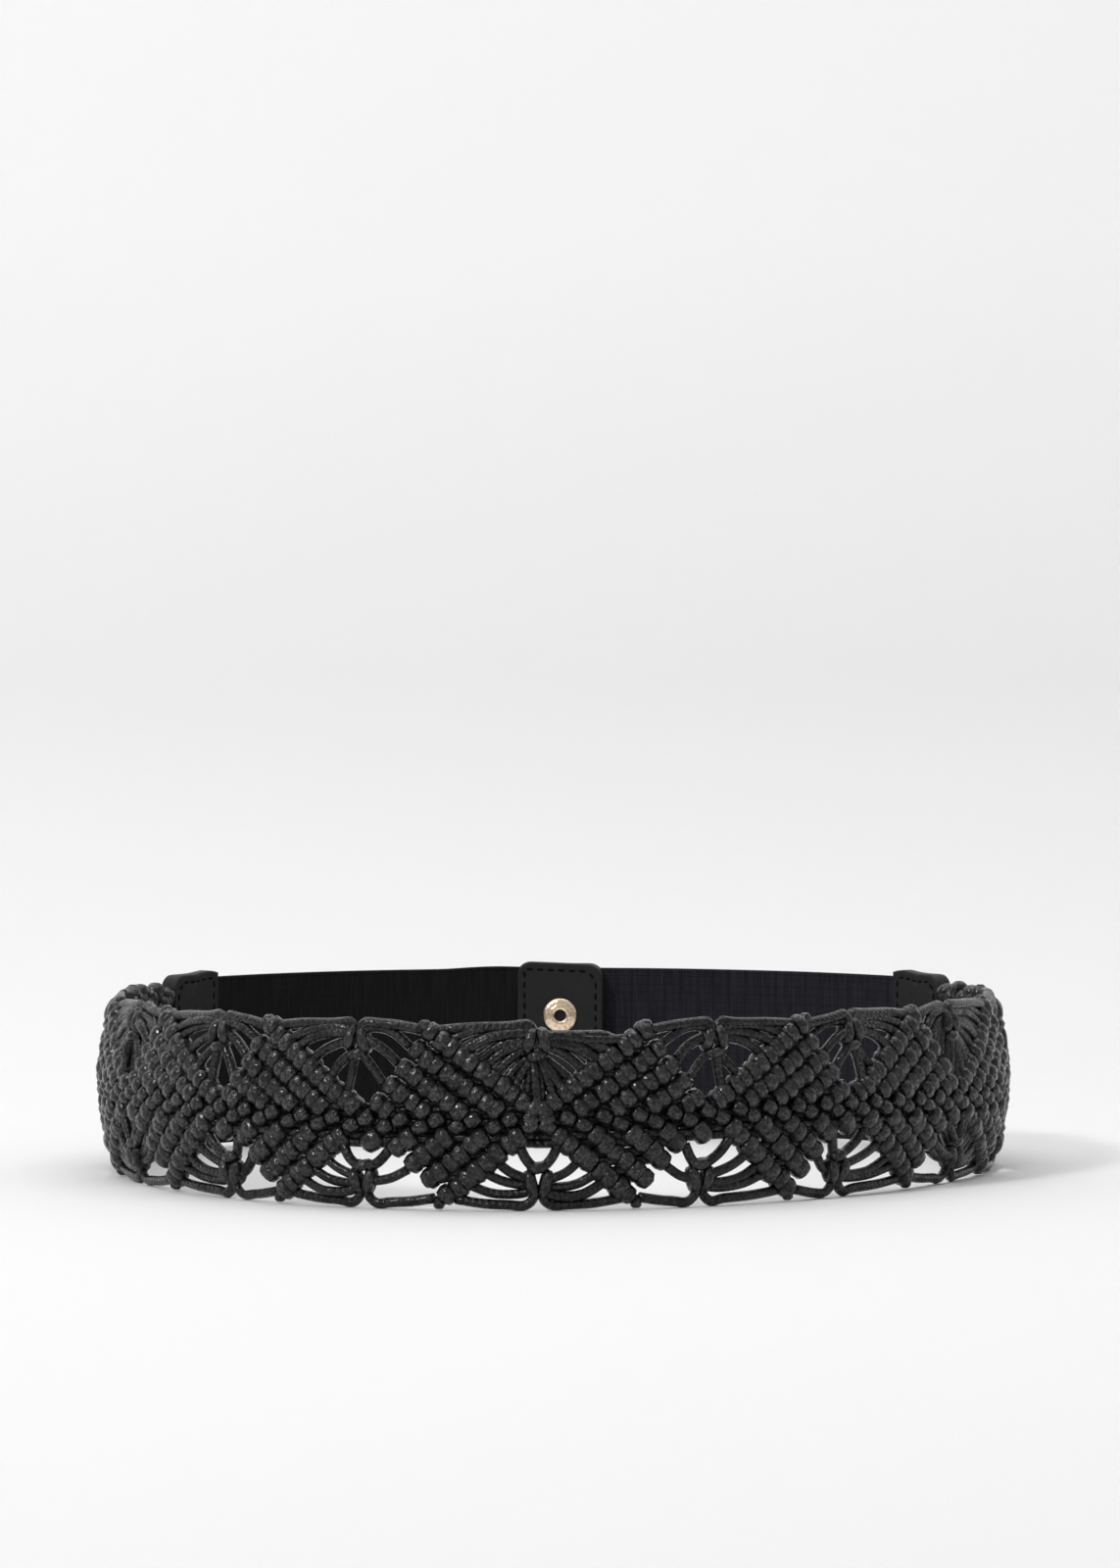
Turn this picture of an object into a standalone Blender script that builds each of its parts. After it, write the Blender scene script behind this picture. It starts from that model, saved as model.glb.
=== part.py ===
"""Stretch belt: a macrame front, an elastic back in two halves and a leather snap closure.

Each piece is modelled flat, as if the belt were laid out on a bench: x runs along the belt
from the middle of its front, y goes into the loop and z is up. The piece is then wrapped
round the loop in which the belt stands. All lengths are in metres.
"""

import math
from collections import namedtuple

import bmesh
import bpy
import numpy as np
from mathutils import Matrix, Vector

# Macrame panel: diamonds of nested chevrons, joined at their waists
DIAMONDS_EACH_SIDE = 5
DIAMOND_LENGTH = 0.0597
CHEVRONS = 5
PANEL_HEIGHT = 0.0625
SPINE_HEIGHT = 0.0308
RIDGE_THICKNESS = 0.0068
VALLEY_THICKNESS = 0.0026
CENTRE_WAIST_X = -0.0052
LEFT_MARGIN = 0.010
RIGHT_MARGIN = 0.012

# Across a diamond's chevrons, in pitches from the middle of a ridge: half its flat top, and for
# the outermost and the innermost one the place where the diamond ends
RIDGE_TOP = 0.22
OUTER_TIP = 0.45
LAST_VALLEY = 0.60
INNER_TIP = 0.88

# Along a chevron's arm: the share that its rounded end takes, and how full it is at the spine
ARM_END_SHARE = 0.075
SPINE_FULLNESS = 0.72

# Open edge between two diamonds: one knot, and cords that fan out from it
CORD_DIAMETER = 0.0032
CORD_LEVEL = -0.00017
KNOT_HEIGHT = 0.0128
KNOT_WIDTH = 0.0066
KNOT_DEPTH = 0.0070
KNOT_INSET = 0.0014
KNOT_CORNER_SHARE = 0.26
TONGUE_THICKNESS = 0.0036
TONGUE_SHARE = 0.44
TONGUE_OVERLAP = 0.0036

# Elastic back
ELASTIC_WIDTH = 0.060
ELASTIC_THICKNESS = 0.0016
LEFT_ELASTIC_LENGTH = 0.1225
RIGHT_ELASTIC_LENGTH = 0.1175
ELASTIC_SHARE = 0.40
ELASTIC_EDGE_SHARE = 0.30

# Leather tabs
LEATHER_THICKNESS = 0.0011
TAB_HEIGHT = 0.0632
END_TAB_LENGTH = 0.0265
END_TAB_RISE = 0.0009
CLOSURE_TAB_WIDTH = 0.032
TAB_CORNER_RADIUS = 0.0055
CLOSURE_TILT = math.radians(2.4)
TILT_RUN_OUT = 0.030

# Snaps
SNAP_SPACING = 0.026
SNAP_DIAMETER = 0.0125
SNAP_BARREL_DIAMETER = 0.0060
SNAP_BORE_DIAMETER = 0.0044
SNAP_FLANGE_THICKNESS = 0.0009
SNAP_LIP_RISE = 0.0006
SNAP_WALL = 0.0013
SNAP_SEAT = 0.0004
SNAP_LIP_SHARE = 0.3
SNAP_DOME_SHARE = 0.8
TURN_SEGMENTS = 12

# Fits
CLEARANCE = 0.0003
SLOT_OVERRUN = 0.002
BEND_STEP = 0.011

# Plan of the loop: its radius at each tenth of a turn from the front, turning towards +X, as a
# share of the radius at the back
PLAN_RADIUS_SHARES = (0.942, 0.890, 0.948, 1.061, 1.039, 1.000, 1.030, 1.047, 1.001, 0.977)

# Where a chevron's arms end, as shares of the diamond's length from its pointed waist
UPPER_VERTEX_SHARE = 0.62
LOWER_VERTEX_SHARE = 0.53

# Cords of one fan: how far along the diamond's edge the cord lands, where it leaves the knot
# as a share of half the knot's height, and its bow as a share of the cord's diameter
FanCord = namedtuple("FanCord", "landing_share knot_share bow_share")
FAN = (
    FanCord(0.36, -0.75, 0.0),
    FanCord(0.66, -0.05, 0.3),
    FanCord(0.93, 0.72, 0.8),
)

# Sections of an end tab from the macrame to the elastic: the place along the tab, how much of
# the change from the macrame's tongue to the elastic is done, in thickness and in the slot's
# height, and how much of the bump on the upper edge is there
TabSection = namedtuple("TabSection", "length_share thickness_share height_share rise_share")
END_TAB_SECTIONS = (
    TabSection(0.00, 0.00, 0.0, 0.0),
    TabSection(0.46, 0.00, 0.0, 0.0),
    TabSection(0.58, 0.65, 1.0, 0.2),
    TabSection(0.80, 1.00, 1.0, 1.0),
    TabSection(0.92, 1.00, 1.0, 0.6),
    TabSection(1.00, 1.00, 1.0, 0.0),
)

# Looks
CORD_COLOUR = (0.020, 0.020, 0.023)
ELASTIC_COLOUR = (0.008, 0.008, 0.010)
LEATHER_COLOUR = (0.022, 0.022, 0.024)
METAL_COLOUR = (0.83, 0.62, 0.46)

# Places that follow from the sizes
CHEVRON_PITCH = DIAMOND_LENGTH / CHEVRONS
SLEEVE_THICKNESS = ELASTIC_THICKNESS + 2 * CLEARANCE + 2 * LEATHER_THICKNESS
MOUTH_THICKNESS = TONGUE_THICKNESS + 2 * CLEARANCE + 2 * LEATHER_THICKNESS
TAB_MIDDLE = TAB_HEIGHT / 2
TONGUE_HEIGHT = TAB_HEIGHT - 2 * (TAB_CORNER_RADIUS + CLEARANCE)
SLOT_HEIGHT = ELASTIC_WIDTH + 2 * CLEARANCE
RIGHT_WAIST_X = CENTRE_WAIST_X + DIAMONDS_EACH_SIDE * DIAMOND_LENGTH
LEFT_WAIST_X = CENTRE_WAIST_X - DIAMONDS_EACH_SIDE * DIAMOND_LENGTH
RIGHT_TAB_X = RIGHT_WAIST_X + RIGHT_MARGIN
LEFT_TAB_X = LEFT_WAIST_X - LEFT_MARGIN
RIGHT_ELASTIC_X = RIGHT_TAB_X + END_TAB_LENGTH
LEFT_ELASTIC_X = LEFT_TAB_X - END_TAB_LENGTH
CLOSURE_RIGHT_X = RIGHT_ELASTIC_X + RIGHT_ELASTIC_LENGTH
CLOSURE_LEFT_X = LEFT_ELASTIC_X - LEFT_ELASTIC_LENGTH
LOOP_LENGTH = CLOSURE_RIGHT_X - CLOSURE_LEFT_X + CLOSURE_TAB_WIDTH
CLOSURE_MIDDLE_RIGHT_X = CLOSURE_RIGHT_X + CLOSURE_TAB_WIDTH / 2
CLOSURE_MIDDLE_LEFT_X = CLOSURE_LEFT_X - CLOSURE_TAB_WIDTH / 2
CLOSURE_OFFSET = (CLEARANCE + SLEEVE_THICKNESS) / 2


def clear_scene():
    for item in list(bpy.data.objects):
        bpy.data.objects.remove(item, do_unlink=True)


def make_collection(name):
    group = bpy.data.collections.new(name)
    bpy.context.scene.collection.children.link(group)
    return group


def make_material(name, colour, roughness, metallic):
    surface = bpy.data.materials.new(name)
    surface.use_nodes = True
    shader = surface.node_tree.nodes["Principled BSDF"]
    shader.inputs["Base Color"].default_value = (*colour, 1.0)
    shader.inputs["Roughness"].default_value = roughness
    shader.inputs["Metallic"].default_value = metallic
    surface.diffuse_color = (*colour, 1.0)
    return surface


class Loop:
    """The closed curve that the middle of the belt's thickness follows, by length along it."""

    SAMPLES = 2880

    def __init__(self):
        shares = np.array(PLAN_RADIUS_SHARES)
        waves = np.fft.rfft(shares) / len(shares)
        bearing = np.linspace(0.0, 2 * math.pi, self.SAMPLES + 1)
        radius = np.full_like(bearing, waves[0].real)
        for order in range(1, len(waves)):
            weight = 1 if 2 * order == len(shares) else 2
            radius += weight * (waves[order] * np.exp(1j * order * bearing)).real
        points = np.stack([radius * np.sin(bearing), -radius * np.cos(bearing)], axis=1)
        steps = np.linalg.norm(np.diff(points, axis=0), axis=1)
        along = np.concatenate([[0.0], np.cumsum(steps)])
        scale = LOOP_LENGTH / along[-1]
        self.points = points * scale
        self.along = along * scale
        tangent = np.gradient(self.points, self.along, axis=0)
        tangent[0] = tangent[-1] = (self.points[1] - self.points[-2]) / (2 * self.along[1])
        tangent /= np.linalg.norm(tangent, axis=1)[:, None]
        self.outward = np.stack([tangent[:, 1], -tangent[:, 0]], axis=1)

    def place(self, flat):
        """World places of flat (x, y, z) rows."""
        flat = np.asarray(flat, dtype=float)
        along = np.mod(flat[:, 0], LOOP_LENGTH)
        spot = np.stack([np.interp(along, self.along, self.points[:, k]) for k in (0, 1)], axis=1)
        out = np.stack([np.interp(along, self.along, self.outward[:, k]) for k in (0, 1)], axis=1)
        out /= np.linalg.norm(out, axis=1)[:, None]
        plan = spot - out * flat[:, 1:2]
        return np.column_stack([plan, flat[:, 2]])

    def frame_at(self, x, y, z):
        """A matrix at a flat place whose local Y points up and local Z into the loop."""
        base, inner = (Vector(spot) for spot in self.place([(x, y, z), (x, y + CLEARANCE, z)]))
        inward = (inner - base).normalized()
        up = Vector((0, 0, 1))
        turn = Matrix((up.cross(inward), up, inward)).transposed().to_4x4()
        return Matrix.Translation(base) @ turn


clear_scene()
LOOP = Loop()
BELT = make_collection("stretch_belt")
CUTTERS = make_collection("cutters")
KNOTTING = make_collection("knotting")
STAND = bpy.data.objects.new("belt_origin", None)
bpy.context.scene.collection.objects.link(STAND)

WAXED_CORD = make_material("waxed_cord", CORD_COLOUR, 0.42, 0.0)
ELASTIC_WEB = make_material("elastic_web", ELASTIC_COLOUR, 0.85, 0.0)
LEATHER = make_material("leather", LEATHER_COLOUR, 0.55, 0.0)
GOLD_METAL = make_material("gold_metal", METAL_COLOUR, 0.28, 1.0)


def smooth_step(value, start, end):
    share = min(max((value - start) / (end - start), 0.0), 1.0)
    return share * share * (3 - 2 * share)


def add_object(name, mesh, surface, group):
    item = bpy.data.objects.new(name, mesh)
    mesh.materials.clear()
    mesh.materials.append(surface)
    group.objects.link(item)
    item.parent = STAND
    if group is not BELT:
        item.hide_render = True
        item.display_type = "WIRE"
    return item


def wrap(bm):
    """Moves flat geometry to its place round the loop."""
    placed = LOOP.place([tuple(vert.co) for vert in bm.verts])
    for vert, spot in zip(bm.verts, placed):
        vert.co = spot


def finish_mesh(bm, name):
    bmesh.ops.recalc_face_normals(bm, faces=bm.faces)
    if bm.calc_volume(signed=True) < 0:
        bmesh.ops.reverse_faces(bm, faces=bm.faces)
    mesh = bpy.data.meshes.new(name)
    bm.to_mesh(mesh)
    bm.free()
    return mesh


def slice_along(bm, step=BEND_STEP):
    """Cuts flat geometry into columns, so that it can follow the loop."""
    low = min(vert.co.x for vert in bm.verts)
    high = max(vert.co.x for vert in bm.verts)
    columns = math.ceil((high - low) / step)
    for column in range(1, columns):
        cut = low + (high - low) * column / columns
        geometry = list(bm.verts) + list(bm.edges) + list(bm.faces)
        bmesh.ops.bisect_plane(
            bm, geom=geometry, dist=1e-6, plane_co=(cut, 0, 0), plane_no=(1, 0, 0))


def edge_reach(edge):
    """How far an edge reaches along x, y and z."""
    return Vector([abs(reach) for reach in edge.verts[0].co - edge.verts[1].co])


def flat_box(low, high):
    """A flat block between two corners."""
    bm = bmesh.new()
    low, high = Vector(low), Vector(high)
    size = high - low
    matrix = Matrix.Translation((low + high) / 2) @ Matrix.Diagonal((*size, 1.0))
    bmesh.ops.create_cube(bm, size=1.0, matrix=matrix)
    return bm


# Macrame panel
def chevron_columns():
    """Places across the chevrons, in pitches from the pointed waist, with half the thickness."""
    crest, valley = RIDGE_THICKNESS / 2, VALLEY_THICKNESS / 2
    columns = [(-OUTER_TIP, 0.0)]
    for chevron in range(CHEVRONS):
        last = chevron == CHEVRONS - 1
        columns.append((chevron - RIDGE_TOP, crest))
        columns.append((chevron + RIDGE_TOP, crest))
        columns.append((chevron + (LAST_VALLEY if last else 0.5), valley))
    columns.append((CHEVRONS - 1 + INNER_TIP, 0.0))
    return columns


def chevron_point(pitches, share, waist_x, opens):
    """Flat place on a chevron; share runs from -1 at its lower end over the spine to 1."""
    back = pitches * CHEVRON_PITCH
    left = min(1.0, 1 - back / DIAMOND_LENGTH)
    vertex = UPPER_VERTEX_SHARE if share > 0 else LOWER_VERTEX_SHARE
    height = PANEL_HEIGHT - SPINE_HEIGHT if share > 0 else SPINE_HEIGHT
    x = waist_x + opens * (back + abs(share) * vertex * DIAMOND_LENGTH * left)
    return x, SPINE_HEIGHT + share * height * left


def split_corner(corner):
    """Splits a grid's corner face from the corner, so that no triangle lies wholly on its rim."""
    face = corner.link_faces[0]
    beside = [edge.other_vert(corner) for edge in corner.link_edges]
    across = next(vert for vert in face.verts if vert is not corner and vert not in beside)
    bmesh.utils.face_split(face, corner, across)


def make_diamond(waist_x, opens):
    """Nested chevrons that point at the waist at waist_x and open towards `opens`, +1 or -1."""
    columns = chevron_columns()
    near_end = 1 - ARM_END_SHARE
    rows = [(-1.0, 0.0), (-near_end, 1.0), (0.0, SPINE_FULLNESS), (near_end, 1.0), (1.0, 0.0)]
    bm = bmesh.new()
    across, down = len(columns) - 1, len(rows) - 1
    bmesh.ops.create_grid(bm, x_segments=across, y_segments=down, size=1.0)
    for corner in [vert for vert in bm.verts if len(vert.link_faces) == 1]:
        split_corner(corner)
    for vert in bm.verts:
        pitches, half = columns[round((vert.co.x + 1) / 2 * across)]
        share, fullness = rows[round((vert.co.y + 1) / 2 * down)]
        x, z = chevron_point(pitches, share, waist_x, opens)
        vert.co = (x, -half * fullness, z)
    back = bmesh.ops.duplicate(bm, geom=list(bm.verts) + list(bm.edges) + list(bm.faces))
    for item in back["geom"]:
        if isinstance(item, bmesh.types.BMVert):
            item.co.y = -item.co.y
    bmesh.ops.remove_doubles(bm, verts=bm.verts, dist=1e-6)
    wrap(bm)
    return finish_mesh(bm, "diamond")


def make_cord(points, level=CORD_LEVEL):
    """A four-sided cord through flat (x, z) points at one level."""
    curve = bpy.data.curves.new("cord", "CURVE")
    curve.dimensions = "3D"
    curve.bevel_depth = CORD_DIAMETER / 2
    curve.bevel_resolution = 0
    curve.use_fill_caps = True
    run = curve.splines.new("POLY")
    run.points.add(len(points) - 1)
    for spot, (x, z) in zip(run.points, points):
        spot.co = (x, level, z, 1.0)
    item = bpy.data.objects.new("cord", curve)
    bpy.context.scene.collection.objects.link(item)
    depsgraph = bpy.context.evaluated_depsgraph_get()
    mesh = bpy.data.meshes.new_from_object(item.evaluated_get(depsgraph))
    bpy.data.objects.remove(item, do_unlink=True)
    bm = bmesh.new()
    bm.from_mesh(mesh)
    bmesh.ops.remove_doubles(bm, verts=bm.verts, dist=1e-6)
    wrap(bm)
    return finish_mesh(bm, "cord")


def make_knot(x, z):
    """A fan's knot, a rounded upright block."""
    half = Vector((KNOT_WIDTH, KNOT_DEPTH, KNOT_HEIGHT)) / 2
    centre = Vector((x, 0, z))
    bm = flat_box(centre - half, centre + half)
    upright = [edge for edge in bm.edges if edge_reach(edge).z > KNOT_HEIGHT / 2]
    bmesh.ops.bevel(bm, geom=upright, offset=KNOT_WIDTH * KNOT_CORNER_SHARE, segments=1, affect="EDGES")
    wrap(bm)
    return finish_mesh(bm, "knot")


def edge_point(waist_x, side, pointed, share, upper):
    """Flat place on the edge of the diamond beside a waist, a share of the way to its vertex."""
    vertex = UPPER_VERTEX_SHARE if upper else LOWER_VERTEX_SHARE
    height = PANEL_HEIGHT - SPINE_HEIGHT if upper else -SPINE_HEIGHT
    reach = vertex if pointed else 1 - vertex
    bury = 0.0 if pointed else CORD_DIAMETER
    return waist_x + side * (share * reach * DIAMOND_LENGTH + bury), SPINE_HEIGHT + share * height


def make_fan(waist_x, side, pointed, upper):
    """Cords from a waist's knot to the diamond on one side of it."""
    outward = 1 if upper else -1
    knot_z = knot_height(upper)
    cords = []
    for cord in FAN:
        start_z = knot_z + outward * cord.knot_share * KNOT_HEIGHT / 2
        end_x, end_z = edge_point(waist_x, side, pointed, cord.landing_share, upper)
        middle_z = (start_z + end_z) / 2 + outward * cord.bow_share * CORD_DIAMETER
        points = [(waist_x, start_z), ((waist_x + end_x) / 2, middle_z), (end_x, end_z)]
        points = [(x, within_panel(z)) for x, z in points]
        cords.append(make_cord(points, side * CORD_LEVEL))
    return cords


def within_panel(z):
    """The nearest height at which a cord stays between the panel's edges."""
    return min(max(z, CORD_DIAMETER / 2), PANEL_HEIGHT - CORD_DIAMETER / 2)


def knot_height(upper):
    if upper:
        return PANEL_HEIGHT - KNOT_INSET - KNOT_HEIGHT / 2
    return KNOT_INSET + KNOT_HEIGHT / 2


def make_tongue(waist_x, outward):
    """The flat end of the knotting, which runs into a leather tab."""
    margin = RIGHT_MARGIN if outward > 0 else LEFT_MARGIN
    near = waist_x - outward * TONGUE_OVERLAP
    far = waist_x + outward * (margin + TONGUE_SHARE * END_TAB_LENGTH)
    half = TONGUE_THICKNESS / 2
    low, high = TAB_MIDDLE - TONGUE_HEIGHT / 2, TAB_MIDDLE + TONGUE_HEIGHT / 2
    bm = flat_box((min(near, far), -half, low), (max(near, far), half, high))
    slice_along(bm)
    wrap(bm)
    return finish_mesh(bm, "tongue")


def make_end_cords(waist_x, outward, upper):
    """Cords from the last diamond to the flat end."""
    cords = []
    limit = (TONGUE_HEIGHT - CORD_DIAMETER) / 2 - CLEARANCE
    for cord in FAN:
        x, z = edge_point(waist_x, -outward, False, cord.landing_share, upper)
        z = min(max(z, TAB_MIDDLE - limit), TAB_MIDDLE + limit)
        cords.append(make_cord([(x, z), (waist_x, z)]))
    return cords


def make_panel():
    meshes = []
    for place in range(-DIAMONDS_EACH_SIDE, DIAMONDS_EACH_SIDE + 1):
        waist_x = CENTRE_WAIST_X + place * DIAMOND_LENGTH
        if 0 <= place < DIAMONDS_EACH_SIDE:
            meshes.append(make_diamond(waist_x, 1))
        if -DIAMONDS_EACH_SIDE < place <= 0:
            meshes.append(make_diamond(waist_x, -1))
        for upper in (True, False):
            if abs(place) == DIAMONDS_EACH_SIDE:
                meshes += make_end_cords(waist_x, math.copysign(1, place), upper)
                continue
            meshes.append(make_knot(waist_x, knot_height(upper)))
            for side in (-1, 1):
                meshes += make_fan(waist_x, side, side * place >= 0, upper)
    meshes.append(make_tongue(LEFT_WAIST_X, -1))
    meshes.append(make_tongue(RIGHT_WAIST_X, 1))
    panel = add_object("macrame_panel", meshes[0], WAXED_CORD, BELT)
    for mesh in meshes[1:]:
        add_object("knotted_" + mesh.name, mesh, WAXED_CORD, KNOTTING)
    union = panel.modifiers.new("knotted together", "BOOLEAN")
    union.operation = "UNION"
    union.solver = "EXACT"
    union.operand_type = "COLLECTION"
    union.collection = KNOTTING
    return panel


# Elastic
def make_elastic(name, tab_x, closure_x, inner):
    """One half of the back, from inside its end tab to inside its closure tab."""
    outward = 1 if closure_x > tab_x else -1
    start = tab_x - outward * ELASTIC_SHARE * END_TAB_LENGTH
    end = closure_x + outward * (CLOSURE_TAB_WIDTH - TAB_CORNER_RADIUS - CLEARANCE)
    half = ELASTIC_THICKNESS / 2
    low, high = TAB_MIDDLE - ELASTIC_WIDTH / 2, TAB_MIDDLE + ELASTIC_WIDTH / 2
    bm = flat_box((min(start, end), -half, low), (max(start, end), half, high))
    long_edges = [edge for edge in bm.edges if edge_reach(edge).x > half]
    edge_size = ELASTIC_THICKNESS * ELASTIC_EDGE_SHARE
    bmesh.ops.bevel(bm, geom=long_edges, offset=edge_size, segments=1, affect="EDGES")
    slice_along(bm)
    for vert in bm.verts:
        move_to_closure(vert, tab_x, closure_x, inner)
    wrap(bm)
    return add_object(name, finish_mesh(bm, name), ELASTIC_WEB, BELT)


def move_to_closure(vert, tab_x, closure_x, inner):
    """Shifts a point of one half of the back to its side of the closure."""
    side = 1 if inner else -1
    vert.co.y += side * CLOSURE_OFFSET * smooth_step(vert.co.x, tab_x, closure_x)
    if inner:
        vert.co.z += closure_tilt(vert.co.x)


def closure_tilt(x):
    """How far the inner tab's slant lifts a point of it or of the elastic beside it."""
    from_middle = x - CLOSURE_MIDDLE_LEFT_X
    slant = from_middle * math.tan(CLOSURE_TILT)
    run_out = smooth_step(x, CLOSURE_LEFT_X + TILT_RUN_OUT, CLOSURE_LEFT_X)
    return slant * run_out


# Leather tabs
def make_end_tab(name, mouth_x, outward):
    """A leather sleeve round the end of the knotting and the end of the elastic."""
    thickness = (MOUTH_THICKNESS, SLEEVE_THICKNESS)
    block = tab_block(mouth_x, outward, thickness, (TAB_HEIGHT, TAB_HEIGHT), END_TAB_RISE)
    round_corners(block, mouth_x)
    wrap(block)
    sleeve = add_object(name, finish_mesh(block, name), LEATHER, BELT)
    walls = 2 * LEATHER_THICKNESS
    slot_thickness = (MOUTH_THICKNESS - walls, SLEEVE_THICKNESS - walls)
    slot_height = (TONGUE_HEIGHT + 2 * CLEARANCE, SLOT_HEIGHT)
    slot = tab_block(mouth_x, outward, slot_thickness, slot_height, 0.0, SLOT_OVERRUN)
    wrap(slot)
    cut(sleeve, finish_mesh(slot, name + "_slot"))
    return sleeve


def tab_block(mouth_x, outward, thickness, height, rise, overrun=0.0):
    """A flat block that follows an end tab's sections, longer by overrun at each end.

    Thickness and height are pairs, at the mouth for the knotting and where the elastic is.
    """
    bm = flat_box((0, -0.5, -0.5), (1, 0.5, 0.5))
    places, thinning, widening, rising = zip(*END_TAB_SECTIONS)
    for place in places[1:-1]:
        geometry = list(bm.verts) + list(bm.edges) + list(bm.faces)
        bmesh.ops.bisect_plane(
            bm, geom=geometry, dist=1e-6, plane_co=(place, 0, 0), plane_no=(1, 0, 0))
    for vert in bm.verts:
        share = vert.co.x
        across = np.interp(np.interp(share, places, thinning), (0, 1), thickness)
        tall = np.interp(np.interp(share, places, widening), (0, 1), height)
        x = END_TAB_LENGTH * share + np.interp(share, (0, 0.01, 0.99, 1), (-overrun, 0, 0, overrun))
        bump = rise * np.interp(share, places, rising) if vert.co.z > 0 else 0.0
        vert.co = (mouth_x + outward * x, vert.co.y * across, TAB_MIDDLE + vert.co.z * tall + bump)
    bmesh.ops.recalc_face_normals(bm, faces=bm.faces)
    return bm


def round_corners(bm, end_x):
    """Rounds the upper and lower corners at one end of a flat tab."""
    corners = []
    for edge in bm.edges:
        first, second = edge.verts[0].co, edge.verts[1].co
        at_end = abs(first.x - end_x) < 1e-5 and abs(second.x - end_x) < 1e-5
        if at_end and abs(first.z - second.z) < 1e-5:
            corners.append(edge)
    bmesh.ops.bevel(
        bm, geom=corners, offset=TAB_CORNER_RADIUS, segments=3, profile=0.5, affect="EDGES")


def make_closure_tab(name, mouth_x, outward, inner):
    """Leather folded round the end of an elastic, with its free end rounded."""
    side = 1 if inner else -1
    far_x = mouth_x + outward * CLOSURE_TAB_WIDTH
    half = SLEEVE_THICKNESS / 2
    bottom = (CLOSURE_TAB_WIDTH / 2 - TAB_CORNER_RADIUS) * math.tan(CLOSURE_TILT) if inner else 0.0
    left_x, right_x = min(mouth_x, far_x), max(mouth_x, far_x)
    bm = flat_box((left_x, -half, bottom), (right_x, half, bottom + TAB_HEIGHT))
    round_corners(bm, far_x)
    slot_far = far_x - outward * TAB_CORNER_RADIUS
    slot_near = mouth_x - outward * SLOT_OVERRUN
    gap = half - LEATHER_THICKNESS
    slot = flat_box((min(slot_near, slot_far), -gap, TAB_MIDDLE - SLOT_HEIGHT / 2),
                    (max(slot_near, slot_far), gap, TAB_MIDDLE + SLOT_HEIGHT / 2))
    for block in (bm, slot):
        slice_along(block)
        for vert in block.verts:
            vert.co.y += side * CLOSURE_OFFSET
            if inner:
                vert.co.z += closure_tilt(vert.co.x)
        wrap(block)
    tab = add_object(name, finish_mesh(bm, name), LEATHER, BELT)
    cut(tab, finish_mesh(slot, name + "_slot"))
    return tab


def cut(item, mesh, matrix=None):
    """Cuts a closed mesh out of an object."""
    cutter = add_object("cut_" + mesh.name, mesh, LEATHER, CUTTERS)
    if matrix is not None:
        cutter.matrix_local = matrix
    difference = item.modifiers.new("cut", "BOOLEAN")
    difference.operation = "DIFFERENCE"
    difference.solver = "EXACT"
    difference.object = cutter


def drill(item, matrix, diameter, depth):
    """Drills a round hole along a matrix's local Z, centred on its origin."""
    bm = bmesh.new()
    radius = diameter / 2
    bmesh.ops.create_cone(
        bm, cap_ends=True, segments=TURN_SEGMENTS, radius1=radius, radius2=radius, depth=depth)
    cut(item, finish_mesh(bm, item.name + "_hole"), matrix)


# Snaps
def make_turned(name, profile, matrix):
    """A solid turned round its local Z from a profile that runs down its outer side."""
    mesh = bpy.data.meshes.new(name)
    mesh.from_pydata([(r, 0, z) for r, z in profile], [(k, k + 1) for k in range(len(profile) - 1)], [])
    item = add_object(name, mesh, GOLD_METAL, BELT)
    item.matrix_local = matrix
    screw = item.modifiers.new("turned", "SCREW")
    screw.axis = "Z"
    screw.steps = TURN_SEGMENTS
    screw.render_steps = TURN_SEGMENTS
    screw.use_merge_vertices = True
    screw.merge_threshold = 0.00001
    screw.use_smooth_shade = False
    return item


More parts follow.
